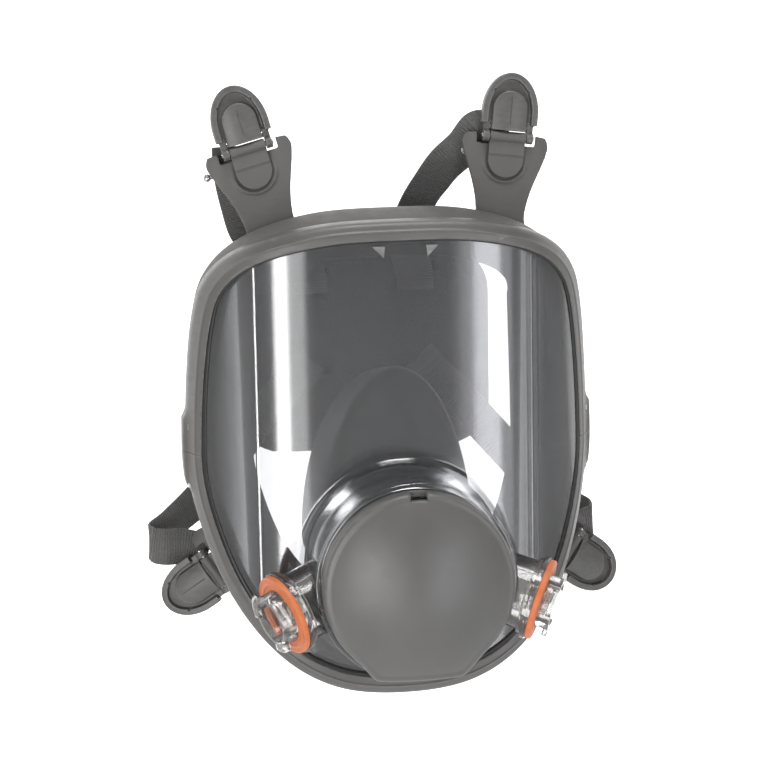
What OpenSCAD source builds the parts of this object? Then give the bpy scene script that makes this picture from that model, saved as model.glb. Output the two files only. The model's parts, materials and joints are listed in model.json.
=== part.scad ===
// Full face respirator: clear visor with a breathing snout, clamped with a rubber
// face seal in a two-part frame, two bayonet filter ports, a centre exhalation
// valve under a snap-on cover, a nose cup and a four-strap head harness.
// Millimetres, +Z up, the mask looks along -Y, the wearer's face is on +Y.
// Origin: centre of the face opening, in the plane of the seal's rearmost edge.

/* [Lens frame] */
// Width of the lens frame over its side edges
frame_w = 190; // [155:1:230]
// Height of the lens frame from brow to chin
frame_h = 221; // [180:1:270]
// Width of the clamping band at brow and chin, seen from the front
band_w = 8.5; // [8:0.5:14]
// Width of the clamping band at the sides
side_band_w = 6; // [5.5:0.5:10]
// Front-to-back depth of the clamping band
frame_depth = 14; // [13:0.5:18]
// Thickness of the band's front and rear lips
lip_t = 2.2; // [1.5:0.1:3]
// Thickness of the band's outer web
web_t = 5; // [4.5:0.1:6]
// How far the middle of the frame stands ahead of its sides
wrap_depth = 42; // [30:1:55]
// How far the frame's side edge stands ahead of the origin
side_ahead = 36; // [30:1:50]
// Radius of the screw bosses at the side seam
boss_r = 4.5; // [4:0.1:6]
// Height of each screw boss
boss_h = 17; // [12:1:22]
// Radius of the frame screws
screw_r = 1.5; // [1.2:0.1:2]

/* [Visor] */
// Thickness of the clear visor, front to back
lens_t = 3; // [2:0.1:4]
// Radius of the snout where it meets the centre adapter
snout_tip_r = 46; // [43:0.5:52]
// How far the snout's tip stands ahead of the frame's front
snout_reach = 32; // [24:1:40]
// Draft of the snout's round wall
snout_draft = 4; // [1:0.5:10]
// Height of the snout's centre below the origin
snout_drop = 48; // [42:1:54]

/* [Bayonet ports] */
// How far each port's gasket seat is behind the snout's tip
port_back = 12; // [8:0.5:20]
// How far each port's gasket seat is below the snout's centre
port_below = 14; // [8:0.5:20]
// How far each port's gasket seat stands out from the snout's wall
port_proud = 12.4; // [11:0.2:14]
// Angle of each port below level
port_down = 17.5; // [10:0.5:25]
// Angle of each port ahead of straight sideways
port_turn = 22; // [15:0.5:30]
// Radius of the port's bore
port_bore_r = 10; // [8:0.1:11]
// Radius of the spigot that carries the lugs
spigot_r = 12.3; // [11.5:0.1:14]
// Length of the spigot beyond the gasket seat
spigot_h = 9; // [8:0.5:12]
// Depth of the port's bore, from its mouth to the valve spider
port_bore_h = 12; // [10:0.5:14]
// Radius over the bayonet lugs
lug_r = 15.4; // [14.8:0.1:17]
// Thickness of the bayonet lugs
lug_t = 2.4; // [2:0.1:3]
// Radius of the port's stepped flange
flange_r = 19.6; // [19:0.1:22]
// Outer radius of the port gasket
gasket_r = 18.8; // [17.5:0.1:21]
// Thickness of the port gasket
gasket_t = 3; // [2:0.1:4]

/* [Centre adapter and cover] */
// Radius of the adapter barrel that fills the visor's front hole
adapter_r = 37; // [34:0.5:40]
// Wall of the adapter barrel
adapter_wall = 3; // [2:0.1:4]
// Radius of the exhalation valve seat's opening
valve_r = 17; // [14:0.5:20]
// Radius of the cover's round upper part
cover_r = 43.5; // [42:0.5:47]
// Distance from the cover's round centre down to its open lower end
cover_tail = 43.5; // [40:0.5:50]
// Width of the cover's lower end
cover_tail_w = 40; // [30:1:50]
// Radius of the cover's domed front
cover_dome_r = 75; // [65:1:95]
// Depth of the cover from its front to its rear edge
cover_depth = 22; // [18:0.5:28]
// Wall of the cover
cover_wall = 2.4; // [1.8:0.1:3.2]
// How far the cover pulls off
cover_travel = 30; // [20:1:40]

/* [Face seal and nose cup] */
// Distance from the frame's edge to the seal's inner lip at the cheeks
seal_lip = 33; // [26:1:36]
// The same distance at the brow
brow_lip = 23; // [20:1:28]
// How far the seal's brow stands above the frame
brow_rise = 2.5; // [0:0.5:5]
// How far the brow and chin of the seal stand ahead of the origin
seal_sweep = 34; // [26:1:40]
// Half width of the nose cup at the face
cup_half_w = 40; // [36:1:46]
// Height of the nose cup's bridge above the origin
cup_top = 40; // [34:1:46]
// Depth of the nose cup's chin below the origin
cup_chin = 75; // [70:1:80]
// Wall of the nose cup
cup_wall = 2.2; // [1.6:0.1:3]
// Radius of the nose cup's check valves
check_r = 9; // [8:0.5:11]

/* [Ears and buckles] */
// Width of an ear at its shoulders
ear_w = 40; // [36:1:44]
// Width of an ear's neck
ear_neck_w = 23; // [20:1:26]
// Thickness of an ear
ear_t = 3.4; // [2.8:0.1:4]
// Length of an upper ear from its root to the buckle wire
upper_ear_l = 43; // [38:1:50]
// Length of a lower ear from its root to the buckle wire
lower_ear_l = 18; // [16:1:24]
// How far the upper left ear's root is in from the frame's edge
upper_left_in = 18.5; // [8:0.5:30]
// How far the upper right ear's root is in from the frame's edge
upper_right_in = 14.5; // [8:0.5:30]
// Outward lean of the upper left ear
left_lean = 15; // [0:1:25]
// Outward lean of the upper right ear
right_lean = 7; // [0:1:25]
// How far the lower left ear's root is in from the frame's edge
lower_left_in = 15; // [3:0.5:18]
// How far the lower right ear's root is in from the frame's edge
lower_right_in = 5; // [3:0.5:18]
// Width of a buckle lever
lever_w = 26.5; // [25:0.5:30]
// Length of a buckle lever beyond its wire
lever_l = 30; // [26:1:34]
// Height of the lever's raised rim
rim_h = 5; // [4:0.5:7]
// Radius of the buckle wire
wire_r = 1.2; // [1:0.1:1.5]
// Width of the tongue that holds the wire
tongue_w = 17; // [15:0.5:18]
// Length of the tongue below the wire
tongue_l = 19; // [16:0.5:22]

/* [Head harness] */
// Width of the harness straps
strap_w = 18; // [15:0.5:22]
// Thickness of the harness straps
strap_t = 1.8; // [1.2:0.1:2.4]
// Width of the crown pad
pad_w = 126; // [110:1:140]
// Height of the crown pad
pad_h = 100; // [90:1:120]
// Thickness of the crown pad
pad_t = 3; // [2:0.5:4]
// How far the crown pad hangs behind the origin
pad_behind = 42; // [38:1:50]
// Height of the crown pad's centre above the origin
pad_rise = 29; // [20:1:40]

/* [Fits] */
// Gap between fixed parts that seat in each other
seat_gap = 0.1; // [0.05:0.05:0.3]
// Gap between a moving part and what is around it
move_gap = 0.35; // [0.3:0.05:0.6]
// Running clearance of a hinge on its wire
hinge_gap = 0.06; // [0.02:0.01:0.1]

/* [Hidden] */
$fn = 96;

// Colours
grey = [0.41, 0.40, 0.39];
dark_grey = [0.22, 0.22, 0.22];
orange = [0.84, 0.44, 0.24];
clear = [0.85, 0.9, 0.92, 0.35];
rubber = [0.36, 0.35, 0.34];
steel = [0.78, 0.78, 0.78];
valve_yellow = [0.85, 0.82, 0.7];

// Frame outline, as shares of its half width and half height, brow to chin
OUTLINE = [[0, 1], [0.38, 0.986], [0.695, 0.911], [0.884, 0.773], [0.963, 0.561], [1, 0.136],
    [0.984, -0.181], [0.853, -0.538], [0.632, -0.805], [0.347, -0.958], [0, -1]];
LAST = len(OUTLINE) - 1;
STEPS = 5;
wrap_power = 4;
half_w = frame_w / 2;
half_h = frame_h / 2;

// Smooth curve through p1..p2, and closed and open runs of it
function curve(p0, p1, p2, p3, t) = 0.5 * (2 * p1 + (p2 - p0) * t
    + (2 * p0 - 5 * p1 + 4 * p2 - p3) * t * t + (3 * p1 - p0 - 3 * p2 + p3) * t * t * t);
function smooth_loop(p, n) = let (m = len(p)) [for (i = [0:m - 1]) for (k = [0:n - 1])
    curve(p[(i + m - 1) % m], p[i], p[(i + 1) % m], p[(i + 2) % m], k / n)];
function smooth_path(p, n) = let (m = len(p) - 1) concat([for (i = [0:m - 1]) for (k = [0:n - 1])
    curve(p[max(i - 1, 0)], p[i], p[i + 1], p[min(i + 2, m)], k / n)], [p[m]]);
function unit(v) = v / norm(v);

// The outline runs clockwise seen from the front: brow, right side, chin, left side
ring = smooth_loop(concat(
    [for (p = OUTLINE) [p[0] * half_w, p[1] * half_h]],
    [for (i = [LAST - 1:-1:1]) [-OUTLINE[i][0] * half_w, OUTLINE[i][1] * half_h]]), STEPS);
RINGS = len(ring);
function inward(i) = let (a = ring[(i + RINGS - 1) % RINGS], b = ring[(i + 1) % RINGS], t = unit(b - a))
    [t[1], -t[0]];
function inset(d) = [for (i = [0:RINGS - 1]) ring[i] + inward(i) * d];
// Inner edge of the band, moved inwards by a distance: widest at brow and chin
function band_edge(d) = [for (i = [0:RINGS - 1]) ring[i] + inward(i)
    * (side_band_w + (band_w - side_band_w) * pow(abs(ring[i][1]) / half_h, 1.5) + d)];

// Front of the frame at a sideways place: flat ahead, wrapped back at the sides
function front_y(x) = -side_ahead - wrap_depth * (1 - pow(abs(x) / half_w, wrap_power));
// Half width of the outline at a height
function side_x(z) = half_w * lookup(z / half_h, [for (i = [LAST:-1:0]) [OUTLINE[i][1], OUTLINE[i][0]]]);
// Rear edge of the face seal at a height
function rear_y(z) = -seal_sweep * pow(z / half_h, 2);

// Places along the frame's depth, behind its front face
lens_back = lip_t + seat_gap;
bead_front = lens_back + lens_t + seat_gap;
bead_back = frame_depth - lip_t - seat_gap;
rear_lip_w = 7.5;
edge_gap = web_t + seat_gap;

// Snout: a round wall along -Y about the level of snout_drop
snout_y = -(side_ahead + wrap_depth + snout_reach);
snout_slope = tan(snout_draft);
snout_len = 58;

// Cover: its dome's front, its rear edge and its outline
cover_back_y = snout_y - move_gap;
cover_front_y = cover_back_y - cover_depth;

// ---- shared shapes ----

// Prism along Y of a front-view outline, between two depths
module prism(points, y0, y1) {
    translate([0, y1, 0]) rotate([90, 0, 0]) linear_extrude(y1 - y0) polygon(points);
}

// Everything behind the frame's front face moved back by a distance
module behind(back) {
    reach = half_w + 6;
    n = 48;
    translate([0, 0, -half_h - 30]) linear_extrude(frame_h + 60)
        polygon(concat([for (i = [0:n]) let (x = -reach + 2 * reach * i / n) [x, front_y(x) + back]],
            [[reach, 60], [-reach, 60]]));
}

// Solid of the snout, with its skin moved inwards by a distance
module snout(skin) {
    translate([0, snout_y + skin, -snout_drop]) rotate([-90, 0, 0])
        cylinder(h = snout_len, r1 = snout_tip_r - skin, r2 = snout_tip_r - skin + snout_len * snout_slope);
}

// A disc or barrel along the snout's axis, from one depth to another
module on_axis(r, y0, y1) {
    translate([0, y1, -snout_drop]) rotate([90, 0, 0]) cylinder(h = y1 - y0, r = r);
}

// Places children on a port: +Z is the port's axis, 0 its gasket seat
port_z = -snout_drop - port_below;
port_x = sqrt(pow(snout_tip_r + port_back * snout_slope + port_proud, 2) - pow(port_below, 2));
module at_port(side) {
    mirror([side < 0 ? 1 : 0, 0, 0]) translate([port_x, snout_y + port_back, port_z])
        rotate([0, 90 + port_down, -port_turn]) children();
}

// Solid of rings of points, closed around, with end caps or joined end to end
module skin(rings, closed = false) {
    n = len(rings);
    m = len(rings[0]);
    rows = closed ? n : n - 1;
    sides = [for (i = [0:rows - 1]) for (j = [0:m - 1])
        let (k = (j + 1) % m, u = ((i + 1) % n) * m, v = i * m)
        each [[v + j, u + j, u + k], [v + j, u + k, v + k]]];
    caps = closed ? [] : [[for (j = [0:m - 1]) j], [for (j = [m - 1:-1:0]) (n - 1) * m + j]];
    polyhedron(points = [for (r = rings) each r], faces = concat(sides, caps), convexity = 6);
}

// Flat band along a route; each face vector is the way its outside looks
module band(route, faces, w, t, n = 6) {
    p = smooth_path(route, n);
    f = smooth_path(faces, n);
    last = len(p) - 1;
    skin([for (i = [0:last]) let (
            along = unit(p[min(i + 1, last)] - p[max(i - 1, 0)]),
            across = unit(cross(along, f[i])),
            out = cross(across, along))
        [p[i] + across * w / 2 + out * t / 2, p[i] - across * w / 2 + out * t / 2,
         p[i] - across * w / 2 - out * t / 2, p[i] + across * w / 2 - out * t / 2]]);
}

// ---- frame ----

boss_x = half_w - web_t / 2 - 0.2;
boss_y = front_y(boss_x) + frame_depth / 2;
head_h = 2;
head_r = 2.9;
nut_w = 4.6;
nut_t = 2.4;
nut_z = boss_h - 6;

// Band of the frame: a channel that grips the visor's edge and the seal's bead
module frame_ring() {
    difference() {
        union() {
            intersection() {
                difference() {
                    prism(ring, front_y(0) - 1, 5);
                    prism(band_edge(0), front_y(0) - 2, 6);
                }
                difference() {
                    behind(0);
                    behind(frame_depth);
                }
            }
            for (s = [-1, 1]) translate([s * boss_x, boss_y, -boss_h]) cylinder(h = 2 * boss_h, r = boss_r);
        }
        intersection() {
            prism(inset(web_t), front_y(0) - 2, 6);
            difference() {
                behind(lip_t);
                behind(frame_depth - lip_t);
            }
        }
        intersection() {
            prism(inset(rear_lip_w), front_y(0) - 2, 6);
            behind(frame_depth - lip_t - 1);
        }
        for (s = [-1, 1]) translate([s * boss_x, boss_y, 0]) {
            translate([0, 0, -boss_h - 1]) cylinder(h = 2 * boss_h, r = screw_r + seat_gap);
            translate([0, 0, -boss_h - 1]) cylinder(h = head_h + 1 + seat_gap, r = head_r + seat_gap);
            translate([0, 0, nut_z + nut_t / 2])
                cube([nut_w, nut_w, nut_t] + [1, 1, 1] * 2 * seat_gap, center = true);
        }
    }
}

seam_gap = 0.1;
module frame_half(sign) {
    reach = half_w + 20;
    intersection() {
        frame_ring();
        translate([-reach, front_y(0) - 5, sign > 0 ? seam_gap : -half_h - 10])
            cube([2 * reach, 120, half_h + 10 - seam_gap]);
    }
}
module upper_frame() { color(grey) frame_half(1); }
module lower_frame() { color(grey) frame_half(-1); }

module frame_screws() {
    color(steel) for (s = [-1, 1]) translate([s * boss_x, boss_y, -boss_h]) {
        cylinder(h = head_h, r = head_r);
        cylinder(h = boss_h + nut_z + nut_t + 1, r = screw_r);
    }
}
module frame_nuts() {
    color(steel) for (s = [-1, 1]) translate([s * boss_x, boss_y, nut_z + nut_t / 2]) difference() {
        cube([nut_w, nut_w, nut_t], center = true);
        cylinder(h = nut_t + 1, r = screw_r, center = true);
    }
}

// ---- visor and ports ----

port_wall_r = 16.4;
port_in = 22;
step_t = 2.2;
flange_t = 2.4;
// Keeps what lies within an outline
module inside(outline) {
    intersection() {
        prism(outline, snout_y - 1, 6);
        children();
    }
}
module visor() {
    color(clear) difference() {
        inside(inset(edge_gap)) union() {
            behind(lens_back);
            inside(band_edge(seat_gap)) snout(0);
        }
        inside(inset(-5)) union() {
            behind(lens_back + lens_t);
            inside(band_edge(seat_gap + lens_t)) snout(lens_t);
        }
        on_axis(adapter_r + seat_gap, snout_y - 1, snout_y + 20);
        for (s = [-1, 1]) at_port(s) {
            translate([0, 0, -port_in - 8]) cylinder(h = 30, r = port_wall_r + seat_gap);
            translate([0, 0, -flange_t - step_t - seat_gap]) cylinder(h = 30, r = flange_r + seat_gap);
        }
    }
}

spider_t = 1.6;
function port_floor() = spigot_h - port_bore_h;
// Clear bayonet port: stepped flange, spigot with three lugs, bore and valve spider
module port_fitting(side) {
    color(clear) difference() {
        at_port(side) port_shape();
        on_axis(snout_tip_r - lens_t, snout_y, snout_y + snout_len);
    }
}
module port_shape() {
    difference() {
        union() {
            translate([0, 0, -port_in]) cylinder(h = port_in, r = port_wall_r);
            translate([0, 0, -flange_t]) cylinder(h = flange_t, r = flange_r);
            translate([0, 0, -flange_t - step_t]) cylinder(h = step_t, r = flange_r - 1.6);
            cylinder(h = spigot_h, r = spigot_r);
            for (a = [0:120:240]) rotate(a + 30) intersection() {
                translate([0, 0, spigot_h - lug_t]) cylinder(h = lug_t, r = lug_r);
                translate([0, -6, 0]) cube([lug_r + 2, 12, spigot_h]);
            }
        }
        translate([0, 0, port_floor()]) cylinder(h = spigot_h - port_floor() + 1, r = port_bore_r);
        translate([0, 0, -port_in - 1])
            cylinder(h = port_in + 1 + port_floor() - spider_t, r = port_bore_r + 3);
        for (a = [0:60:300]) rotate(a) intersection() {
            translate([0, 0, port_floor() - spider_t - 1]) difference() {
                cylinder(h = spider_t + 2, r = port_bore_r - 1.2);
                translate([0, 0, -1]) cylinder(h = spider_t + 4, r = 3);
            }
            translate([0, 0, port_floor() - spider_t - 1]) linear_extrude(spider_t + 2)
                polygon([[1.4, 0.8], [port_bore_r, 0.8], [port_bore_r * 0.5, port_bore_r * 0.866 - 0.2]]);
        }
    }
}
module left_port() { port_fitting(-1); }
module right_port() { port_fitting(1); }

module port_gasket(side) {
    color(orange) at_port(side) difference() {
        cylinder(h = gasket_t, r = gasket_r);
        translate([0, 0, -1]) cylinder(h = gasket_t + 2, r = spigot_r + seat_gap);
    }
}
module left_port_gasket() { port_gasket(-1); }
module right_port_gasket() { port_gasket(1); }

// Flap under the spider: it lifts inwards to let air in
flap_t = 0.6;
flap_gap = 0.05;
module inhalation_flap(side) {
    color(valve_yellow) at_port(side)
        translate([0, 0, port_floor() - spider_t - flap_t - flap_gap])
            cylinder(h = flap_t, r = port_bore_r + 1.4);
}
module left_inhalation_flap() { inhalation_flap(-1); }
module right_inhalation_flap() { inhalation_flap(1); }

// ---- centre adapter, exhalation valve and cover ----

adapter_front_y = snout_y - 3;
adapter_rear_y = snout_y + 38;
collar_t = 3;
nut_ring_t = 6;
seat_y = snout_y + 4;
seat_t = 3;
module centre_adapter() {
    color(grey) difference() {
        union() {
            on_axis(adapter_r, adapter_front_y, adapter_rear_y);
            on_axis(adapter_r + 4, snout_y + lens_t + 2.2, snout_y + lens_t + 2.2 + collar_t);
        }
        on_axis(adapter_r - adapter_wall, adapter_front_y - 1, adapter_rear_y + 1);
    }
}
module adapter_gasket() {
    color(rubber) difference() {
        on_axis(adapter_r + 4, snout_y + lens_t + seat_gap, snout_y + lens_t + 2.2 - seat_gap);
        on_axis(adapter_r + seat_gap, snout_y, snout_y + 20);
    }
}
// Ring on the front of the barrel that pulls the visor on to the gasket
module adapter_nut() {
    color(dark_grey) difference() {
        on_axis(adapter_r + 2.8, adapter_front_y, snout_y - seat_gap);
        on_axis(adapter_r + seat_gap, adapter_front_y - 1, snout_y + 1);
    }
}
module valve_seat() {
    color(grey) difference() {
        on_axis(adapter_r - adapter_wall - seat_gap, seat_y, seat_y + seat_t);
        translate([0, seat_y + seat_t + 1, -snout_drop - 4]) rotate([90, 0, 0]) difference() {
            cylinder(h = seat_t + 2, r = valve_r);
            translate([0, 0, -1]) cylinder(h = seat_t + 4, r = 3.4);
            for (a = [0:45:135]) rotate(a) cube([valve_r * 2 + 2, 1.8, 4 * seat_t], center = true);
        }
    }
}
module exhalation_flap() {
    color(valve_yellow) translate([0, seat_y - flap_gap, -snout_drop - 4]) rotate([90, 0, 0]) {
        cylinder(h = 0.8, r = valve_r + 2.6);
        cylinder(h = 3, r = 2.4);
    }
}

// Outline of the cover: a round top drawn down to a narrower open end
function cover_outline(d) = let (r = cover_r - d, half = cover_tail_w / 2 - d, start = -38) concat(
    [for (i = [0:40]) let (a = start + (180 - 2 * start) * i / 40) [r * cos(a), r * sin(a) - snout_drop]],
    [[-half - 7, -snout_drop - cover_tail + 9 + d], [-half, -snout_drop - cover_tail + d]],
    [[half, -snout_drop - cover_tail + d], [half + 7, -snout_drop - cover_tail + 9 + d]]);
module centre_cover() {
    slot = [8, 4, 2.6];
    color(grey) difference() {
        intersection() {
            prism(cover_outline(0), cover_front_y - 1, cover_back_y);
            translate([0, cover_front_y + cover_dome_r, -snout_drop]) sphere(r = cover_dome_r, $fn = 128);
        }
        intersection() {
            prism(cover_outline(cover_wall), cover_front_y - 1, cover_back_y + 1);
            translate([0, cover_front_y + cover_dome_r, -snout_drop])
                sphere(r = cover_dome_r - cover_wall, $fn = 128);
        }
        translate([-13, cover_front_y + 11, -snout_drop - cover_tail - 1]) cube([26, 20, 6]);
        translate([-slot[0] / 2, cover_back_y - 9, cover_r - snout_drop - slot[2] - 2])
            cube(slot + [0, 0, 3]);
    }
}

// ---- face seal and nose cup ----

// Section of the seal: inset from the frame's outline, distance behind the frame's
// front and share of the way from there to the seal's rear edge
SEAL = [[edge_gap, bead_front, 0], [edge_gap, bead_back, 0], [rear_lip_w + seat_gap, bead_back, 0],
    [rear_lip_w + seat_gap, frame_depth + 0.6, 0], [3.5, frame_depth + 2.4, 0.12],
    [1.5, frame_depth + 3, 0.6],
    [2.5, frame_depth + 3, 0.92], [6, frame_depth + 3, 1], [15, frame_depth + 3, 0.98],
    [seal_lip, frame_depth + 3, 0.8], [seal_lip - 0.4, frame_depth + 3, 0.72], [15, frame_depth + 3, 0.87],
    [8, frame_depth + 3, 0.85], [5.2, frame_depth + 3, 0.55], [7.4, frame_depth + 3, 0.22],
    [11, frame_depth + 1, 0], [11, bead_front, 0]];
// How much a place on the outline belongs to the brow, 0 to 1
function brow(i) = pow(max(ring[i][1] / half_h, 0), 4);
function seal_inset(d, share, i) = let (lip = seal_lip + (brow_lip - seal_lip) * brow(i),
        reach = d > 15 ? lip / seal_lip : 1)
    d * reach - (brow_rise + 2) * share * pow(brow(i), 2) * (d > 15 ? 0 : 1);
module face_seal() {
    color(rubber) skin([for (i = [0:RINGS - 1]) [for (s = SEAL)
        let (p = ring[i] + inward(i) * seal_inset(s[0], s[2], i),
            y = front_y(min(abs(p[0]), half_w)) + s[1])
        [p[0], y + (rear_y(p[1]) - y) * s[2], p[1]]]], closed = true);
}

// Outline of the nose cup at a share of its depth: a collar in the barrel, then a dome
// that rises to the bridge early and widens towards the face
cup_front_y = snout_y + 29;
cup_neck_y = adapter_rear_y + 0.5;
cup_rear_y = -14;
cup_front_r = adapter_r - adapter_wall - seat_gap;
bridge_share = 0.35;
function cup_point(a, s, d) = let (
        grow = pow(s, 0.8),
        rise = 1 - pow(1 - min(s / bridge_share, 1), 2),
        up = max(sin(a), 0), down = max(-sin(a), 0),
        half = cup_front_r + (cup_half_w - cup_front_r) * grow - d,
        top = cup_front_r + (cup_top + snout_drop - cup_front_r) * rise
            - 7 * max(s - bridge_share, 0) / (1 - bridge_share) - d,
        chin = cup_front_r + (cup_chin - snout_drop - cup_front_r) * grow - d)
    [half * cos(a), cup_neck_y + (cup_rear_y - cup_neck_y) * s - 6 * grow * pow(up, 3),
     -snout_drop + top * up - chin * down];
function cup_collar(a, d) = let (r = cup_front_r - d) [r * cos(a), cup_front_y, -snout_drop + r * sin(a)];
cup_shares = [0, 0.08, 0.17, 0.26, 0.36, 0.55, 0.78, 1];
cup_angles = [for (i = [47:-1:0]) i * 7.5];
check_z = -snout_drop - 4;
check_y = cup_neck_y + 22;
module nose_cup() {
    color(dark_grey) difference() {
        skin(concat([[for (a = cup_angles) cup_collar(a, 0)]],
            [for (s = cup_shares) [for (a = cup_angles) cup_point(a, s, 0)]],
            [for (i = [len(cup_shares) - 1:-1:0])
                [for (a = cup_angles) cup_point(a, cup_shares[i], cup_wall)]],
            [[for (a = cup_angles) cup_collar(a, cup_wall)]]), closed = true);
        for (s = [-1, 1]) at_check(s) cylinder(h = 20, r = check_r + seat_gap, center = true);
    }
}
// Places children on a check valve in the cup's cheek: +Z points into the cup
module at_check(side) {
    mirror([side < 0 ? 1 : 0, 0, 0]) translate([cup_half_w - 3.4, check_y, check_z])
        rotate([0, -90, 0]) children();
}
module check_seat(side) {
    color(grey) at_check(side) difference() {
        union() {
            translate([0, 0, -2.6]) cylinder(h = 5, r = check_r);
            translate([0, 0, -3.6]) cylinder(h = 1.4, r = check_r + 1.6);
        }
        translate([0, 0, -4]) difference() {
            cylinder(h = 8, r = check_r - 2);
            for (a = [0, 60, 120]) rotate(a) cube([2 * check_r, 1.6, 20], center = true);
        }
    }
}
module left_check_seat() { check_seat(-1); }
module right_check_seat() { check_seat(1); }
module check_flap(side) {
    color(valve_yellow) at_check(side) translate([0, 0, 2.4 + flap_gap])
        cylinder(h = flap_t, r = check_r - 0.6);
}
module left_check_flap() { check_flap(-1); }
module right_check_flap() { check_flap(1); }

// ---- ears, buckles ----

// Buckle frame: 0 on the wire, +X along it, +Z towards the lever's tip, -Y outwards
upper_root_z = half_h * 0.885;
lower_root_z = -half_h * 0.495;
upper_tip = 8;
lower_lean = 126;
lower_turn = 18;
function lean(side) = side < 0 ? left_lean : right_lean;
function upper_root(side) = let (z = upper_root_z)
    [side * (side_x(z) - (side < 0 ? upper_left_in : upper_right_in)), rear_y(z) - 1, z];
function lower_root(side) = let (z = lower_root_z)
    [side * (side_x(z) - (side < 0 ? lower_left_in : lower_right_in)), rear_y(z) - 3, z];
// Place of each buckle's wire
function upper_wire(side) = upper_root(side) + upper_ear_l * [cos(upper_tip) * sin(side * lean(side)),
    sin(upper_tip), cos(upper_tip) * cos(side * lean(side))];
function lower_wire(side) = lower_root(side) + lower_ear_l * [side * sin(lower_lean) * cos(lower_turn),
    sin(lower_lean) * sin(lower_turn), cos(lower_lean)];
module at_upper(side) {
    translate(upper_wire(side)) rotate([-upper_tip, side * lean(side), 0]) children();
}
module at_lower(side) {
    translate(lower_wire(side)) rotate([0, 0, side * lower_turn]) rotate([0, side * lower_lean, 0])
        children();
}
module at_buckle(side, upper) {
    if (upper) at_upper(side) children();
    else at_lower(side) children();
}

wire_y = -1.7;
sleeve_r = 2.6;
lug_x0 = tongue_w / 2 + move_gap;
lug_w = 3;
shoulder_gap = 0.8;
// Ear: a neck that widens to two shoulders, with a notch for the buckle
function half_ear(l) = smooth_path([[ear_neck_w / 2 + 3, -l - 3], [ear_neck_w / 2, -l + 6],
    [ear_neck_w / 2 + 2, -l * 0.5 - 3], [ear_w / 2 - 1, -9], [ear_w / 2 + 0.5, -3],
    [ear_w / 2 - 1, 1]], 4);
module ear(side, upper, l) {
    notch = lever_w / 2 + shoulder_gap;
    half = half_ear(l);
    last = len(half) - 1;
    color(rubber) at_buckle(side, upper) translate([0, ear_t, 0]) rotate([90, 0, 0]) linear_extrude(ear_t)
        polygon(concat(half, [[notch, 1.5], [notch, -3.5], [-notch, -3.5], [-notch, 1.5]],
            [for (i = [last:-1:0]) [-half[i][0], half[i][1]]]));
}
module upper_left_ear() { ear(-1, true, upper_ear_l); }
module upper_right_ear() { ear(1, true, upper_ear_l); }
module lower_left_ear() { ear(-1, false, lower_ear_l); }
module lower_right_ear() { ear(1, false, lower_ear_l); }

// Rubber tongue that wraps the wire and buttons down on the ear
lower_tongue_l = 11;
module tongue(side, upper) {
    t = 2.4;
    round_z = (upper ? tongue_l : lower_tongue_l) - tongue_w / 2;
    color(rubber) at_buckle(side, upper) difference() {
        union() {
            translate([0, wire_y, 0]) rotate([0, 90, 0])
                cylinder(h = tongue_w, r = sleeve_r, center = true);
            prism(concat([for (i = [0:24]) let (a = 180 + 7.5 * i)
                [tongue_w / 2 * cos(a), tongue_w / 2 * sin(a) - round_z]],
                [[tongue_w / 2, 0], [-tongue_w / 2, 0]]), -0.1 - t, -0.1);
        }
        translate([0, wire_y, 0]) rotate([0, 90, 0])
            cylinder(h = tongue_w + 2, r = wire_r + seat_gap / 5, center = true);
    }
}
module upper_left_tongue() { tongue(-1, true); }
module upper_right_tongue() { tongue(1, true); }
module lower_left_tongue() { tongue(-1, false); }
module lower_right_tongue() { tongue(1, false); }

// Wire through the lever's lugs, and on an upper ear a ball-ended bar behind its shoulders
bar_z = -7.5;
bar_slip = 3;
ball_r = wire_r + 0.7;
module wire(side, upper) {
    bar_half = ear_w / 2 - 1.5;
    color(steel) at_buckle(side, upper) {
        translate([0, wire_y, 0]) rotate([0, 90, 0])
            cylinder(h = 2 * (lug_x0 + lug_w + 0.5), r = wire_r, center = true);
        if (upper) translate([side < 0 ? -bar_slip : 0, ear_t + ball_r, bar_z]) {
            rotate([0, 90, 0]) cylinder(h = 2 * bar_half, r = wire_r, center = true);
            for (s = [-1, 1]) translate([s * bar_half, 0, 0]) sphere(r = ball_r);
        }
    }
}
module upper_left_wire() { wire(-1, true); }
module upper_right_wire() { wire(1, true); }
module lower_left_wire() { wire(-1, false); }
module lower_right_wire() { wire(1, false); }

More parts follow.
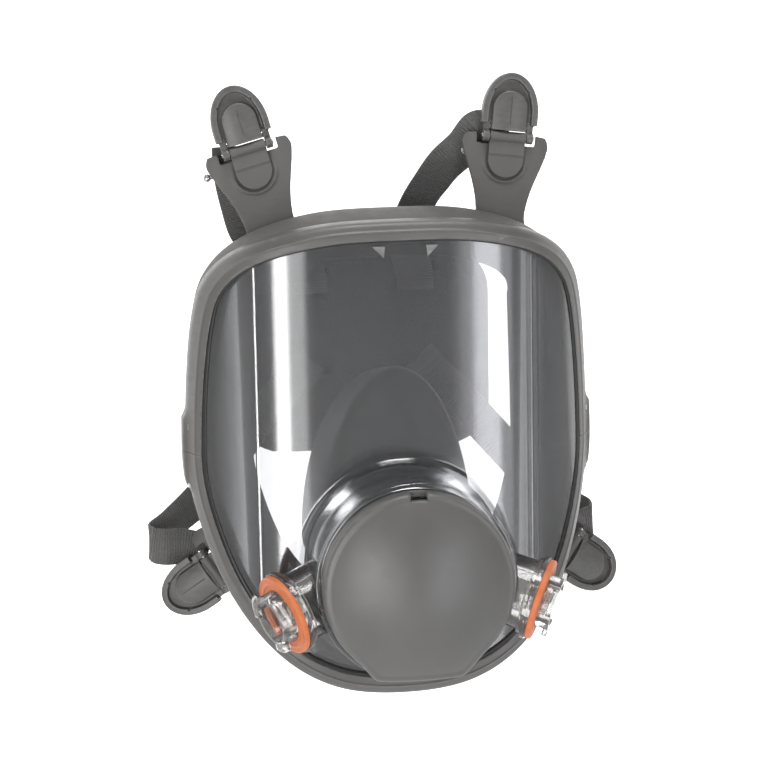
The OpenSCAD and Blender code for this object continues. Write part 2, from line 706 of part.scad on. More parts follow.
// Lever: a dish with a raised rim, a raised panel in its middle and two lugs on the wire
lever_z0 = sleeve_r + move_gap;
rim_z0 = 6;
rim_w = 3;
floor_t = 1.8;
floor_y = 0.6;
panel_w = tongue_w - 0.6;
panel_l = 21.5;
function lever_outline(d) = concat([for (i = [0:24]) let (a = 180 * i / 24, foot = rim_z0 + 5)
    [(lever_w / 2 - d) * cos(a), foot + (lever_l - foot - d) * sin(a)]],
    [[-lever_w / 2 + d, rim_z0], [lever_w / 2 - d, rim_z0]]);
function panel_outline() = let (r = panel_w / 2) concat(
    [for (i = [0:16]) let (a = 180 * i / 16) [r * cos(a), panel_l - r + r * sin(a)]],
    [[-r, lever_z0], [r, lever_z0]]);
module lever(side, upper) {
    color(grey) at_buckle(side, upper) difference() {
        union() {
            prism(lever_outline(0), floor_y - floor_t, floor_y);
            prism(panel_outline(), floor_y - rim_h - 0.6, floor_y);
            difference() {
                prism(lever_outline(0), floor_y - rim_h, floor_y - floor_t / 2);
                prism(lever_outline(rim_w), floor_y - rim_h - 1, floor_y);
                translate([-lever_w / 2 + rim_w, -10, rim_z0 - 1]) cube([lever_w - 2 * rim_w, 20, 6]);
            }
            for (s = [-1, 1]) {
                translate([s * (lug_x0 + lug_w / 2), wire_y, 0]) rotate([0, 90, 0])
                    cylinder(h = lug_w, r = sleeve_r, center = true);
                translate([s * (lug_x0 + lug_w / 2) - lug_w / 2, wire_y, 0])
                    cube([lug_w, -wire_y + floor_y, rim_z0 + 1]);
            }
        }
        translate([0, wire_y, 0]) rotate([0, 90, 0])
            cylinder(h = 60, r = wire_r + hinge_gap, center = true);
    }
}
module upper_left_lever() { lever(-1, true); }
module upper_right_lever() { lever(1, true); }
module lower_left_lever() { lever(-1, false); }
module lower_right_lever() { lever(1, false); }

// ---- harness ----

// Routes of the straps: first from each buckle's wire, then from between the crown pad's
// slots, with the way each place on them faces
pad_y = pad_behind;
slots_z = pad_rise + 15;
slot_x = 27;
slot_z = 25;
strap_end_y = 1 - strap_t / 2 - seat_gap;
function route(wire, near, far) = concat([for (p = near) wire + p],
    [for (p = far) [0, pad_y, slots_z] + p]);
UPPER_LEFT = route(upper_wire(-1), [[-6.8, 8, 0], [-6.3, 6.2, -13], [-3.3, 10, -27], [0.7, 16, -40]],
    [[-55, -38, 47], [-46, -24, 39], [-36, -10, 32], [-28, strap_end_y - 0.5, 24], [-27, strap_end_y, 15]]);
UPPER_LEFT_FACE = [[0, -1, 0], [0, -1, 0], [0, -1, -0.1], [0, -0.9, -0.3], [0.2, -0.6, -0.7],
    [0.3, -0.5, -0.8], [0.2, -0.7, -0.6], [0, -1, -0.2], [0, -1, 0]];
UPPER_RIGHT = route(upper_wire(1), [[-2, 6.4, -3], [-8, 6.4, 1.5], [-13, 6, 3.4], [-19.5, 6.6, -4.6],
        [-28, 9.6, -12.8], [-33.6, 15.6, -21.9], [-37.6, 23.6, -30.4]],
    [[19.5, -32, 55.5], [19, -22, 45.5], [21, -11, 35.5], [25.5, strap_end_y - 0.5, 24],
        [26, strap_end_y, 15]]);
UPPER_RIGHT_FACE = [[0, -1, 0], [0, -1, 0], [0, -1, 0], [0, -1, 0], [0, -1, -0.1], [0, -0.9, -0.3],
    [0, -0.8, -0.5], [0, -0.7, -0.6], [0, -0.7, -0.7], [0, -0.8, -0.5], [0, -1, -0.2], [0, -1, 0]];
LOWER_LEFT = route(lower_wire(-1), [[-3, 4.5, 8], [-14.5, 7.5, 10.5], [-23.5, 7, 11], [-29, 9.5, 12],
        [-28.5, 14.5, 14], [-19, 20.5, 19]],
    [[-80, -16, -76], [-52, -4, -44], [-33, strap_end_y - 0.5, -26], [-27, strap_end_y, -19]]);
LOWER_LEFT_FACE = [[-0.3, -1, 0], [-0.3, -1, 0], [-0.4, -1, 0], [-1, -0.1, 0.1], [-0.7, 0.8, 0.2],
    [-0.6, 1, 0.2], [-0.5, 0.9, -0.2], [-0.4, 1, -0.3], [0, 1, 0], [0, 1, 0]];
LOWER_RIGHT = route(lower_wire(1), [[3, 4, 8], [9, 5, 10], [14, 9, 11.5], [12, 15, 14], [3, 22, 19]],
    [[76, -15, -74], [50, -4, -44], [33, strap_end_y - 0.5, -26], [27, strap_end_y, -19]]);
LOWER_RIGHT_FACE = [[0.3, -1, 0], [0.4, -1, 0], [1, -0.1, 0.1], [0.7, 0.8, 0.2], [0.6, 1, 0.2],
    [0.5, 0.9, -0.2], [0.4, 1, -0.3], [0, 1, 0], [0, 1, 0]];
module upper_left_strap() { color(dark_grey) band(UPPER_LEFT, UPPER_LEFT_FACE, strap_w, strap_t); }
module upper_right_strap() { color(dark_grey) band(UPPER_RIGHT, UPPER_RIGHT_FACE, strap_w, strap_t); }
module lower_left_strap() { color(dark_grey) band(LOWER_LEFT, LOWER_LEFT_FACE, strap_w, strap_t); }
module lower_right_strap() { color(dark_grey) band(LOWER_RIGHT, LOWER_RIGHT_FACE, strap_w, strap_t); }

function round_box(w, h, r) = [for (q = [0:3]) for (i = [0:6]) let (a = q * 90 + i * 15)
    [(w / 2 - r) * (q == 0 || q == 3 ? 1 : -1) + r * cos(a), (h / 2 - r) * (q < 2 ? 1 : -1) + r * sin(a)]];
module crown_pad() {
    color(dark_grey) translate([0, pad_y + 1 + pad_t, 0]) rotate([90, 0, 0])
        linear_extrude(pad_t) difference() {
            translate([0, pad_rise]) polygon(round_box(pad_w, pad_h, 22));
            for (x = [-1, 1], z = [-1, 1]) translate([x * slot_x, slots_z + z * slot_z])
                square([strap_w + 2, 4], center = true);
        }
}

visor();
upper_frame();
lower_frame();
frame_screws();
frame_nuts();
face_seal();
upper_left_ear();
upper_right_ear();
lower_left_ear();
lower_right_ear();
left_port();
right_port();
left_port_gasket();
right_port_gasket();
left_inhalation_flap();
right_inhalation_flap();
centre_adapter();
adapter_gasket();
adapter_nut();
valve_seat();
exhalation_flap();
centre_cover();
nose_cup();
left_check_seat();
right_check_seat();
left_check_flap();
right_check_flap();
upper_left_tongue();
upper_right_tongue();
lower_left_tongue();
lower_right_tongue();
upper_left_wire();
upper_right_wire();
lower_left_wire();
lower_right_wire();
upper_left_lever();
upper_right_lever();
lower_left_lever();
lower_right_lever();
upper_left_strap();
upper_right_strap();
lower_left_strap();
lower_right_strap();
crown_pad();
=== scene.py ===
import bpy, bmesh, json, math
import numpy as np
from mathutils import Euler, Matrix, Vector


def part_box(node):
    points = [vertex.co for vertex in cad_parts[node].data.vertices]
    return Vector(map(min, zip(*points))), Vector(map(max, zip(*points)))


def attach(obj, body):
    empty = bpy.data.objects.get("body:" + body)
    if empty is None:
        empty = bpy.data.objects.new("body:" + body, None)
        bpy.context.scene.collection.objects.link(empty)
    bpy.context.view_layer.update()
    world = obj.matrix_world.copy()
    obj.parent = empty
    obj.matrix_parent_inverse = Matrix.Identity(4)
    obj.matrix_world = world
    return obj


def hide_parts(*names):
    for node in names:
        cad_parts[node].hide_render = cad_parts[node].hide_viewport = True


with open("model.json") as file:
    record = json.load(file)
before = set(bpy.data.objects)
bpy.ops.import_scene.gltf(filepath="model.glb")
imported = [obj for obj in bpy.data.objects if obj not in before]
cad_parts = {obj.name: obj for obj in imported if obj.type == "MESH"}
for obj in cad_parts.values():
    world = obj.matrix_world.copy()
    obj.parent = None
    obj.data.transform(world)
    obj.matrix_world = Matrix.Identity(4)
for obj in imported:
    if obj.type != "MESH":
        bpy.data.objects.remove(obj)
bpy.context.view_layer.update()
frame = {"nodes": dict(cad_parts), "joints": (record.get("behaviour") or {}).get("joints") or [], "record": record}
MM = 0.001


# ---- camera and studio ----
# A long lens a little over a metre away, just left of the mask and slightly above it.
# The studio is a pale sweep with tall soft boxes at the front left and front right, a light at each side and a top
# light.
turn, lift, roll = math.radians(-8.586), math.radians(11.786), 0.0179
distance, lens_length = 1.3, 130.24
middle = Vector((0, -0.04, 0.007))
right = Vector((math.cos(turn), math.sin(turn), 0))
back = Vector((math.sin(turn) * math.cos(lift), -math.cos(turn) * math.cos(lift), math.sin(lift)))
up = back.cross(right)
right, up = right * math.cos(roll) - up * math.sin(roll), right * math.sin(roll) + up * math.cos(roll)
aim = middle - 0.00319 * right + 0.02133 * up
camera_data = bpy.data.cameras.new("camera")
camera_data.lens = lens_length
camera_data.sensor_width = 36
camera = bpy.data.objects.new("camera", camera_data)
stand = aim + back * distance
camera.matrix_world = Matrix([[right[i], up[i], back[i], stand[i]] for i in range(3)] + [[0, 0, 0, 1]])
bpy.context.scene.collection.objects.link(camera)
bpy.context.scene.camera = camera
bpy.context.scene.view_settings.view_transform = "Standard"


def soft_box(name, bearing, distance, height, width, tall, power, tint=(1, 1, 1)):
    """A square light that faces the mask, at a bearing in degrees to the right of its front."""
    data = bpy.data.lights.new(name, "AREA")
    data.shape, data.size, data.size_y, data.energy, data.color = "RECTANGLE", width, tall, power, tint
    light = bpy.data.objects.new(name, data)
    spot = Vector((distance * math.sin(math.radians(bearing)), -distance * math.cos(math.radians(bearing)), height))
    light.location = spot
    light.rotation_euler = (middle - spot).to_track_quat("-Z", "Y").to_euler()
    bpy.context.scene.collection.objects.link(light)


soft_box("left strip", -30, 1.7, -0.1, 0.34, 1.3, 12)
soft_box("left fill", -22, 1.8, -0.1, 0.6, 1.3, 6)
soft_box("right strip", 27, 1.7, -0.1, 0.42, 1.3, 6, (0.95, 0.95, 1))
soft_box("right fill", 29, 1.8, -0.1, 0.9, 1.3, 4, (0.95, 0.95, 1))
soft_box("left side light", -100, 1.6, 0.5, 0.5, 1.2, 5)
soft_box("right side light", 105, 1.6, 0.5, 0.5, 1.2, 4)
soft_box("top light", 10, 0.5, 1.5, 0.6, 0.6, 15)
world = bpy.data.worlds.new("studio")
world.use_nodes = True
world.node_tree.nodes["Background"].inputs["Color"].default_value = (1, 1, 1, 1)
world.node_tree.nodes["Background"].inputs["Strength"].default_value = 0.25
bpy.context.scene.world = world


class Socket:
    """One output of a shader node. Arithmetic on it adds Math nodes."""

    def __init__(self, finish, output):
        self.finish, self.output = finish, output

    def combine(self, operation, first, second):
        return self.finish.node("Math", {"operation": operation}, {0: first, 1: second})

    def __add__(self, other): return self.combine("ADD", self, other)
    def __radd__(self, other): return self.combine("ADD", other, self)
    def __sub__(self, other): return self.combine("SUBTRACT", self, other)
    def __rsub__(self, other): return self.combine("SUBTRACT", other, self)
    def __mul__(self, other): return self.combine("MULTIPLY", self, other)
    def __rmul__(self, other): return self.combine("MULTIPLY", other, self)
    def __pow__(self, other): return self.combine("POWER", self, other)
    def __abs__(self): return self.combine("ABSOLUTE", self, 0)


class Finish:
    """A material under construction. node() adds any node: settings first, then its inputs."""

    def __init__(self, name):
        self.material = bpy.data.materials.new(name)
        self.material.use_nodes = True
        self.tree = self.material.node_tree
        self.tree.nodes.clear()

    def node(self, kind, settings=None, inputs=None, out=0):
        node = self.tree.nodes.new("ShaderNode" + kind)
        for key, value in (settings or {}).items():
            if key == "stops":
                ramp = node.color_ramp
                while len(ramp.elements) < len(value):
                    ramp.elements.new(1)
                for element, (place, colour) in zip(ramp.elements, value):
                    element.position, element.color = place, (*colour, 1)
            else:
                setattr(node, key, value)
        for key, value in (inputs or {}).items():
            if isinstance(value, Socket):
                self.tree.links.new(value.output, node.inputs[key])
            elif isinstance(value, tuple) and len(value) == 3 and node.inputs[key].type == "RGBA":
                node.inputs[key].default_value = (*value, 1)
            else:
                node.inputs[key].default_value = value
        return Socket(self, node.outputs[out]) if node.outputs else None

    def place(self, scale=(1, 1, 1), turned=(0, 0, 0)):
        where = self.node("TexCoord", out="Object")
        return self.node("Mapping", None, {"Vector": where, "Scale": scale, "Rotation": turned})

    def noise(self, size, detail=3, stretch=(1, 1, 1), rough=0.55):
        return self.node("TexNoise", None, {"Vector": self.place(stretch), "Scale": 1 / size,
                                            "Detail": detail, "Roughness": rough})

    def between(self, value, low, high, low_to=0, high_to=1):
        return self.node("MapRange", {"clamp": True}, {"Value": value, "From Min": low, "From Max": high,
                                                        "To Min": low_to, "To Max": high_to})

    def blend(self, factor, first, second, mode="MIX"):
        return self.node("Mix", {"data_type": "RGBA", "blend_type": mode},
                         {0: factor, 6: first, 7: second}, out=2)

    def bump(self, height, strength, depth, normal=None):
        inputs = {"Height": height, "Strength": strength, "Distance": depth}
        if normal is not None:
            inputs["Normal"] = normal
        return self.node("Bump", None, inputs)

    def shade(self, **values):
        values = {key.replace("_", " "): value for key, value in values.items()}
        return self.node("BsdfPrincipled", None, values)

    def done(self, shader):
        self.node("OutputMaterial", None, {"Surface": shader})
        return self.material


def add_mesh(name, points, faces, finish, smooth=True):
    """A mesh object at the origin from points in millimetres."""
    mesh = bpy.data.meshes.new(name)
    mesh.from_pydata((np.asarray(points, float) * MM).tolist(), [], [list(f) for f in faces])
    mesh.polygons.foreach_set("use_smooth", [smooth] * len(mesh.polygons))
    mesh.materials.append(finish)
    mesh.update()
    piece = bpy.data.objects.new(name, mesh)
    bpy.context.scene.collection.objects.link(piece)
    return piece


def paper(name, glow):
    made = Finish(name)
    fibre = made.noise(0.01, 3)
    return made.done(made.shade(Base_Color=made.blend(fibre, (0.84, 0.84, 0.84), (0.87, 0.87, 0.87)), Roughness=0.9,
                                Emission_Color=(1, 1, 1), Emission_Strength=glow))


floor_z, curve_start, curve_r, half_side = -620, 1000, 900, 6000
for name, rows, glow in (
        ("floor", [(-4000, floor_z), (curve_start, floor_z)], 0.12),
        ("backdrop", [(curve_start, floor_z)] + [
            (curve_start + curve_r * math.sin(a), floor_z + curve_r * (1 - math.cos(a)))
            for a in np.linspace(0.1, math.pi / 2, 10)] + [(curve_start + curve_r, 5000)], 1.0)):
    stage_points = [(x, y, z) for y, z in rows for x in (-half_side, half_side)]
    add_mesh(name, stage_points, [(2 * i, 2 * i + 1, 2 * i + 3, 2 * i + 2) for i in range(len(rows) - 1)],
                      paper("pale " + name + " paper", glow))


# ---- visor ----
# One clear polycarbonate moulding, three millimetres thick: a sheet wrapped back at both
# sides, with a round snout in front and two side holes that the port tubes are welded in.
half_w, half_h = 95, 110.5
wrap_depth, side_ahead = 42, 36
OUTLINE = [(0, 1), (0.38, 0.986), (0.695, 0.911), (0.884, 0.773), (0.963, 0.561), (1, 0.136),
           (0.984, -0.181), (0.853, -0.538), (0.632, -0.805), (0.347, -0.958), (0, -1)]
lens_groove, lens_t, lens_edge = 2.3, 3.0, 5.1
snout_y, snout_z, snout_r, snout_slope = -110, -48, 46, math.tan(math.radians(4))
snout_hole_r, foot_r, lip_r = 37.1, 2.6, 1.1


def spline(points, steps, closed=False):
    """Catmull-Rom curve through points."""
    p = np.asarray(points, float)
    n = len(p)
    rows = []
    for i in range(n if closed else n - 1):
        a, b, c, d = (p[(i + k) % n] if closed else p[min(max(i + k, 0), n - 1)] for k in (-1, 0, 1, 2))
        for t in np.arange(steps) / steps:
            rows.append(0.5 * (2 * b + (c - a) * t + (2 * a - 5 * b + 4 * c - d) * t * t
                               + (3 * b - a - 3 * c + d) * t ** 3))
    if not closed:
        rows.append(p[-1])
    return np.array(rows)


def unit(v):
    return v / np.maximum(np.linalg.norm(v, axis=-1, keepdims=True), 1e-9)


def front_y(x):
    return -side_ahead - wrap_depth * (1 - np.minimum(np.abs(x) / half_w, 1) ** 4)


ring = spline([(x * half_w, z * half_h) for x, z in OUTLINE]
              + [(-x * half_w, z * half_h) for x, z in OUTLINE[-2:0:-1]], 16, closed=True)
along = unit(np.roll(ring, -1, 0) - np.roll(ring, 1, 0))
inward = np.stack([along[:, 1], -along[:, 0]], 1)
RING = len(ring)


def loop_faces(rows, columns, closed_rows=True, closed_columns=True, flip=False):
    """Quads between rows of points, each row a loop or a line."""
    faces = []
    for i in range(rows if closed_rows else rows - 1):
        for j in range(columns if closed_columns else columns - 1):
            a, b = i * columns + j, i * columns + (j + 1) % columns
            c, d = (i + 1) % rows * columns + (j + 1) % columns, (i + 1) % rows * columns + j
            faces.append((d, c, b, a) if flip else (a, b, c, d))
    return faces


def end_faces(rows, columns):
    """The two faces that close a loft's ends."""
    return [tuple(range(columns))[::-1], tuple(range((rows - 1) * columns, rows * columns))]


def outward(piece):
    """Recalculates the piece's normals after merging doubles."""
    edit = bmesh.new()
    edit.from_mesh(piece.data)
    bmesh.ops.remove_doubles(edit, verts=edit.verts, dist=1e-7)
    bmesh.ops.recalc_face_normals(edit, faces=edit.faces)
    edit.to_mesh(piece.data)
    edit.free()
    piece.data.update()
    return piece


def visor_profile(o, direction, skin):
    """Points from the sheet's edge to the snout's hole, on the outer or inner side."""
    y_of = lambda p: front_y(p[..., 0]) + lens_groove + skin
    centre = np.array([0, snout_z])
    wall = lambda y: snout_r - skin + (y - snout_y) * snout_slope
    foot = foot_r if skin == 0 else 1.2
    base_r = wall(-74) + foot
    base = centre + direction * base_r
    rows = []
    for s in np.linspace(0, 1, 26):
        p = o + (base - o) * s
        rows.append([p[0], y_of(p), p[1]])
    y0 = y_of(base)
    for a in np.linspace(0, math.pi / 2, 7)[1:]:
        r = base_r - foot * math.sin(a)
        p = centre + direction * r
        rows.append([p[0], y0 - foot * (1 - math.cos(a)), p[1]])
    top = snout_y + skin + lip_r
    for y in np.linspace(y0 - foot, top, 12)[1:]:
        p = centre + direction * wall(y)
        rows.append([p[0], y, p[1]])
    r_top = wall(top)
    for a in np.linspace(0, math.pi / 2, 6)[1:]:
        p = centre + direction * (r_top - lip_r * (1 - math.cos(a)))
        rows.append([p[0], top - lip_r * math.sin(a), p[1]])
    p = centre + direction * snout_hole_r
    rows.append([p[0], snout_y + skin, p[1]])
    return rows


clear = Finish("clear hard-coated visor")
scuffs = clear.noise(0.004, 5, (1, 1, 0.25))
dust = clear.between(clear.noise(0.0011, 2), 0.63, 0.72)
where = clear.node("TexCoord", out="Object")
x_place = clear.node("SeparateXYZ", None, {"Vector": where}, out=0)
line = clear.between(abs(abs(x_place) - 0.0655), 0.0, 0.0006, 1, 0)
waves = clear.noise(0.09, 1)
relief = clear.bump(waves, 0.12, 0.002, clear.bump(line, 0.8, 0.0002))
skin_gloss = clear.shade(Base_Color=(1, 1, 1), Metallic=1.0, Normal=relief,
                         Roughness=clear.between(scuffs, 0.3, 0.8, 0.1, 0.17))
see_through = clear.node("BsdfTransparent", None, {"Color": (0.76, 0.765, 0.775)})
haze = clear.shade(Base_Color=(0.7, 0.71, 0.73), Roughness=0.6)
rim_light = clear.node("Fresnel", None, {"IOR": 1.8, "Normal": relief})
gloss_mix = clear.node("MixShader", None, {0: rim_light, 1: see_through, 2: skin_gloss})
visor_finish = clear.done(clear.node("MixShader", None, {0: dust * 0.06 + 0.018, 1: gloss_mix, 2: haze}))

sheet_edge = ring + inward * lens_edge
directions = unit(sheet_edge - np.array([0, snout_z]))
visor_rows = [visor_profile(o, d, 0) + visor_profile(o, d, lens_t)[::-1]
              for o, d in zip(sheet_edge, directions)]
visor = add_mesh("visor_sheet", np.array(visor_rows).reshape(-1, 3),
                 loop_faces(RING, len(visor_rows[0])), visor_finish)
outward(visor)


def port_frame(side):
    """Turning and place of a port: +Z is its axis, 0 its gasket seat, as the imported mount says."""
    name = "left_port" if side < 0 else "right_port"
    mount = next(m for m in frame["record"]["mounts"] if m["name"] == name)
    axis = Vector(mount["axis"]).normalized()
    seat = Vector(mount["pos_m"]) - axis * (port_spigot - port_bore_l / 2) * MM
    across = Vector((0, 0, 1)).cross(axis).normalized()
    return Matrix([[across[i], axis.cross(across)[i], axis[i], seat[i]] for i in range(3)] + [[0, 0, 0, 1]])


def turned(profile, steps=96):
    """Closed solid of revolution about +Z from a closed loop of (radius, height) points."""
    angles = np.linspace(0, 2 * math.pi, steps, endpoint=False)
    points = [(r * math.cos(a), r * math.sin(a), z) for a in angles for r, z in profile]
    return points, loop_faces(steps, len(profile))


def cut(piece, points, faces, finish):
    """Cuts a closed shape, given in metres, out of a piece."""
    tool = add_mesh("cutter", np.array(points) / MM, faces, finish, smooth=False)
    outward(tool)
    change = piece.modifiers.new("cut", "BOOLEAN")
    change.operation, change.object, change.solver = "DIFFERENCE", tool, "EXACT"
    settle(piece)
    bpy.data.objects.remove(tool)


def settle(piece):
    """Applies a piece's modifiers to its mesh."""
    seen = piece.evaluated_get(bpy.context.evaluated_depsgraph_get())
    mesh = bpy.data.meshes.new_from_object(seen)
    piece.modifiers.clear()
    piece.data = mesh
    return piece


def moved(points, matrix):
    return [tuple(matrix @ Vector(p)) for p in points]


port_spigot, port_bore_l, port_tube_r = 9, 12, 16.4
for side in (-1, 1):
    drill = []
    angles = np.linspace(0, 2 * math.pi, 64, endpoint=False)
    for z in (-30, 0):
        drill += [(port_tube_r * math.cos(a) * MM, port_tube_r * math.sin(a) * MM, z * MM) for a in angles]
    drill_faces = loop_faces(2, len(angles), closed_rows=False) + end_faces(2, len(angles))
    cut(visor, moved(drill, port_frame(side)), drill_faces, visor_finish)
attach(visor, "mask")
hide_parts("visor")


# ---- frame ----
# Two glass-filled nylon channels that clamp the visor and the seal's bead all round. Their
# ends meet in a seam at each side, where a screw in a swollen boss pulls them together.
band_w, side_band_w, web_t = 8.5, 6.0, 5.0
boss_h, boss_out, seam = 17, 1.9, 0.1


def moulded(name, colour, light, wear=0.5, grain=0.0005, rough=(0.42, 0.62), bump=0.18):
    """Moulded plastic or rubber: fine grain, faint flow marks, rubbed edges, and painted shade that darkens the colour
    in hollows.
    """
    made = Finish(name)
    flow = made.noise(0.03, 4, (1, 1, 0.5))
    fine = made.noise(grain, 2)
    rubs = made.noise(0.006, 5, (1, 1, 3))
    edge = made.between(made.node("NewGeometry", out="Pointiness"), 0.505, 0.56)
    # Painted shade: concave hollows, where shade falls, are darkened to under half the colour.
    hollow_shade = made.between(made.node("NewGeometry", out="Pointiness"), 0.49, 0.44)
    base = made.blend(made.between(flow, 0.3, 0.7), tuple(c * 0.9 for c in colour), tuple(c * 1.08 for c in colour))
    worn = made.blend(edge * made.between(rubs, 0.35, 0.75) * wear, base, light)
    with_hollow_shade = made.blend(hollow_shade * 0.45, worn, tuple(c * 0.45 for c in colour))
    sheen = made.between(rubs, 0.3, 0.8, *rough)
    relief = made.bump(fine, bump, 0.0002, made.bump(rubs, 0.06, 0.0003))
    return made.done(made.shade(Base_Color=with_hollow_shade, Roughness=sheen, Normal=relief))


frame_finish = moulded("grey nylon frame", (0.088, 0.085, 0.081), (0.25, 0.247, 0.24), rough=(0.34, 0.5), bump=0.26)


def softened(loop, passes=2):
    """Closed loop of points with its corners cut off twice."""
    p = np.asarray(loop, float)
    for _ in range(passes):
        q = np.roll(p, -1, 0)
        p = np.stack([0.75 * p + 0.25 * q, 0.25 * p + 0.75 * q], 1).reshape(-1, p.shape[1])
    return p


def band_width(z):
    return side_band_w + (band_w - side_band_w) * (np.abs(z) / half_h) ** 1.5


def frame_section(z):
    """Section of the channel as (inset, depth): front lip, outer wall, rear lip and groove."""
    b = band_width(z)
    swell = boss_out * np.clip((boss_h + 1.5 - abs(z)) / 3.5, 0, 1) ** 0.8
    return softened([(b, 2.2), (b, 0.7), (b - 0.5, 0.3), (b * 0.5 + 0.5, 0.25), (b * 0.5 + 0.3, 0.0),
                     (b * 0.5 - 0.2, 0.0), (b * 0.5 - 0.5, 0.45), (1.4 - swell * 0.8, 1.5), (0.25 - swell, 2.7),
                     (0 - swell, 5),
                     (0 - swell, 11), (0.5 - swell, 13.2), (1.8 - swell * 0.5, 14), (5.0, 14), (7.3, 13.9),
                     (7.4, 12.2), (web_t, 11.9), (web_t, 8), (web_t, 2.25)], 1)


def frame_half(name, sign):
    inside = sign * ring[:, 1] > seam
    order = [i for i in range(RING) if inside[i]]
    breaks = [k for k in range(1, len(order)) if order[k] != order[k - 1] + 1]
    if breaks:
        order = order[breaks[0]:] + order[:breaks[0]]
    stations = []
    for i, other in ((order[0], order[0] - 1), (order[-1], (order[-1] + 1) % RING)):
        t = (sign * seam - ring[i, 1]) / (ring[other, 1] - ring[i, 1])
        stations.append((ring[i] + (ring[other] - ring[i]) * t, inward[i] + (inward[other] - inward[i]) * t))
    stops = [stations[0]] + [(ring[i], inward[i]) for i in order] + [stations[1]]
    rows = []
    for place, way in stops:
        section = frame_section(place[1])
        points = place + np.outer(section[:, 0], way)
        if abs(place[1] - sign * seam) < 1e-6:
            points[:, 1] = sign * seam
        rows.append(np.stack([points[:, 0], front_y(np.minimum(np.abs(points[:, 0]), half_w)) + section[:, 1],
                              points[:, 1]], 1))
    count = len(rows[0])
    faces = loop_faces(len(rows), count, closed_rows=False) + end_faces(len(rows), count)
    piece = outward(add_mesh(name, np.concatenate(rows), faces, frame_finish))
    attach(piece, "mask")
    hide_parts(name.replace("_channel", "_frame"))
    return piece


frame_half("upper_channel", 1)
frame_half("lower_channel", -1)

# A near-black strip that stands out from under the front lip onto the visor: partly the seal's rubber edge, partly
# painted shadow of the gap under the lip
black_rubber_and_shadow_finish = moulded("black rubber and painted lip shadow", (0.012, 0.012, 0.012), (0.05, 0.05, 0.05), rough=(0.35, 0.5))
lip_strip_rows = []
for place, way in zip(ring, inward):
    b = band_width(place[1])
    wide = 1.9 - 1.1 * (max(place[1], 0) / half_h) ** 1.5
    section = softened([(b - 0.2, 2.25), (b - 0.2, 1.1), (b + wide * 0.5, 1.2), (b + wide, 1.9), (b + wide, 2.28)], 2)
    points = place + np.outer(section[:, 0], way)
    lip_strip_rows.append(np.stack([points[:, 0], front_y(points[:, 0]) + section[:, 1], points[:, 1]], 1))
edge = outward(add_mesh("lip_rubber_and_shadow_strip", np.concatenate(lip_strip_rows), loop_faces(RING, len(lip_strip_rows[0])), black_rubber_and_shadow_finish))
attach(edge, "mask")

# Two small clear webs under the top of the band, whose purpose is a guess
web_drop, web_half_t = 5.2, 0.5
webs = []
for x0, x1, tip in ((-12.6, -6.8, -7.4), (12, 17.5, 12.6)):
    top_z = half_h * 0.9
    corners = [(x0, top_z), (x1, top_z), (tip, top_z - web_drop)]
    web_points = [(x * MM, (front_y(x) + 2.0 + d) * MM, z * MM) for d in (-web_half_t, web_half_t) for x, z in corners]
    webs.append((web_points, [(0, 1, 2), (5, 4, 3), (0, 3, 4, 1), (1, 4, 5, 2), (2, 5, 3, 0)]))


def joined(name, parts, finish):
    """One mesh object from several (points in metres, faces) parts."""
    points, faces = [], []
    for part, sides in parts:
        faces += [tuple(i + len(points) for i in f) for f in sides]
        points += list(part)
    return add_mesh(name, np.array(points) / MM, faces, finish)


web_finish = moulded("clouded visor web", (0.13, 0.13, 0.13), (0.3, 0.3, 0.3), rough=(0.3, 0.4))
centring = outward(joined("centring_webs", webs, web_finish))
centring.data.polygons.foreach_set("use_smooth", [False] * len(centring.data.polygons))
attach(centring, "mask")


# ---- frame screws and nuts ----
# One steel screw stands in each boss, its head in the lower half and a square nut in the
# upper half.
def drawn_steel(name, tone=0.62, rough=(0.18, 0.34)):
    made = Finish(name)
    lines = made.noise(0.0006, 3, (0.15, 1, 1))
    stain = made.noise(0.005, 4)
    tint = made.blend(made.between(stain, 0.35, 0.75), (tone, tone, tone * 1.01), (tone * 0.72, tone * 0.7, tone * 0.68))
    return made.done(made.shade(Base_Color=tint, Metallic=1.0, Roughness=made.between(lines, 0.3, 0.7, *rough),
                                Normal=made.bump(lines, 0.12, 0.0001)))


def dress(node, finish):
    """Gives a CAD node its material."""
    mesh = frame["nodes"][node].data
    mesh.materials.clear()
    mesh.materials.append(finish)


steel_finish = drawn_steel("drawn steel")
dress("frame_screws", steel_finish)
dress("frame_nuts", steel_finish)


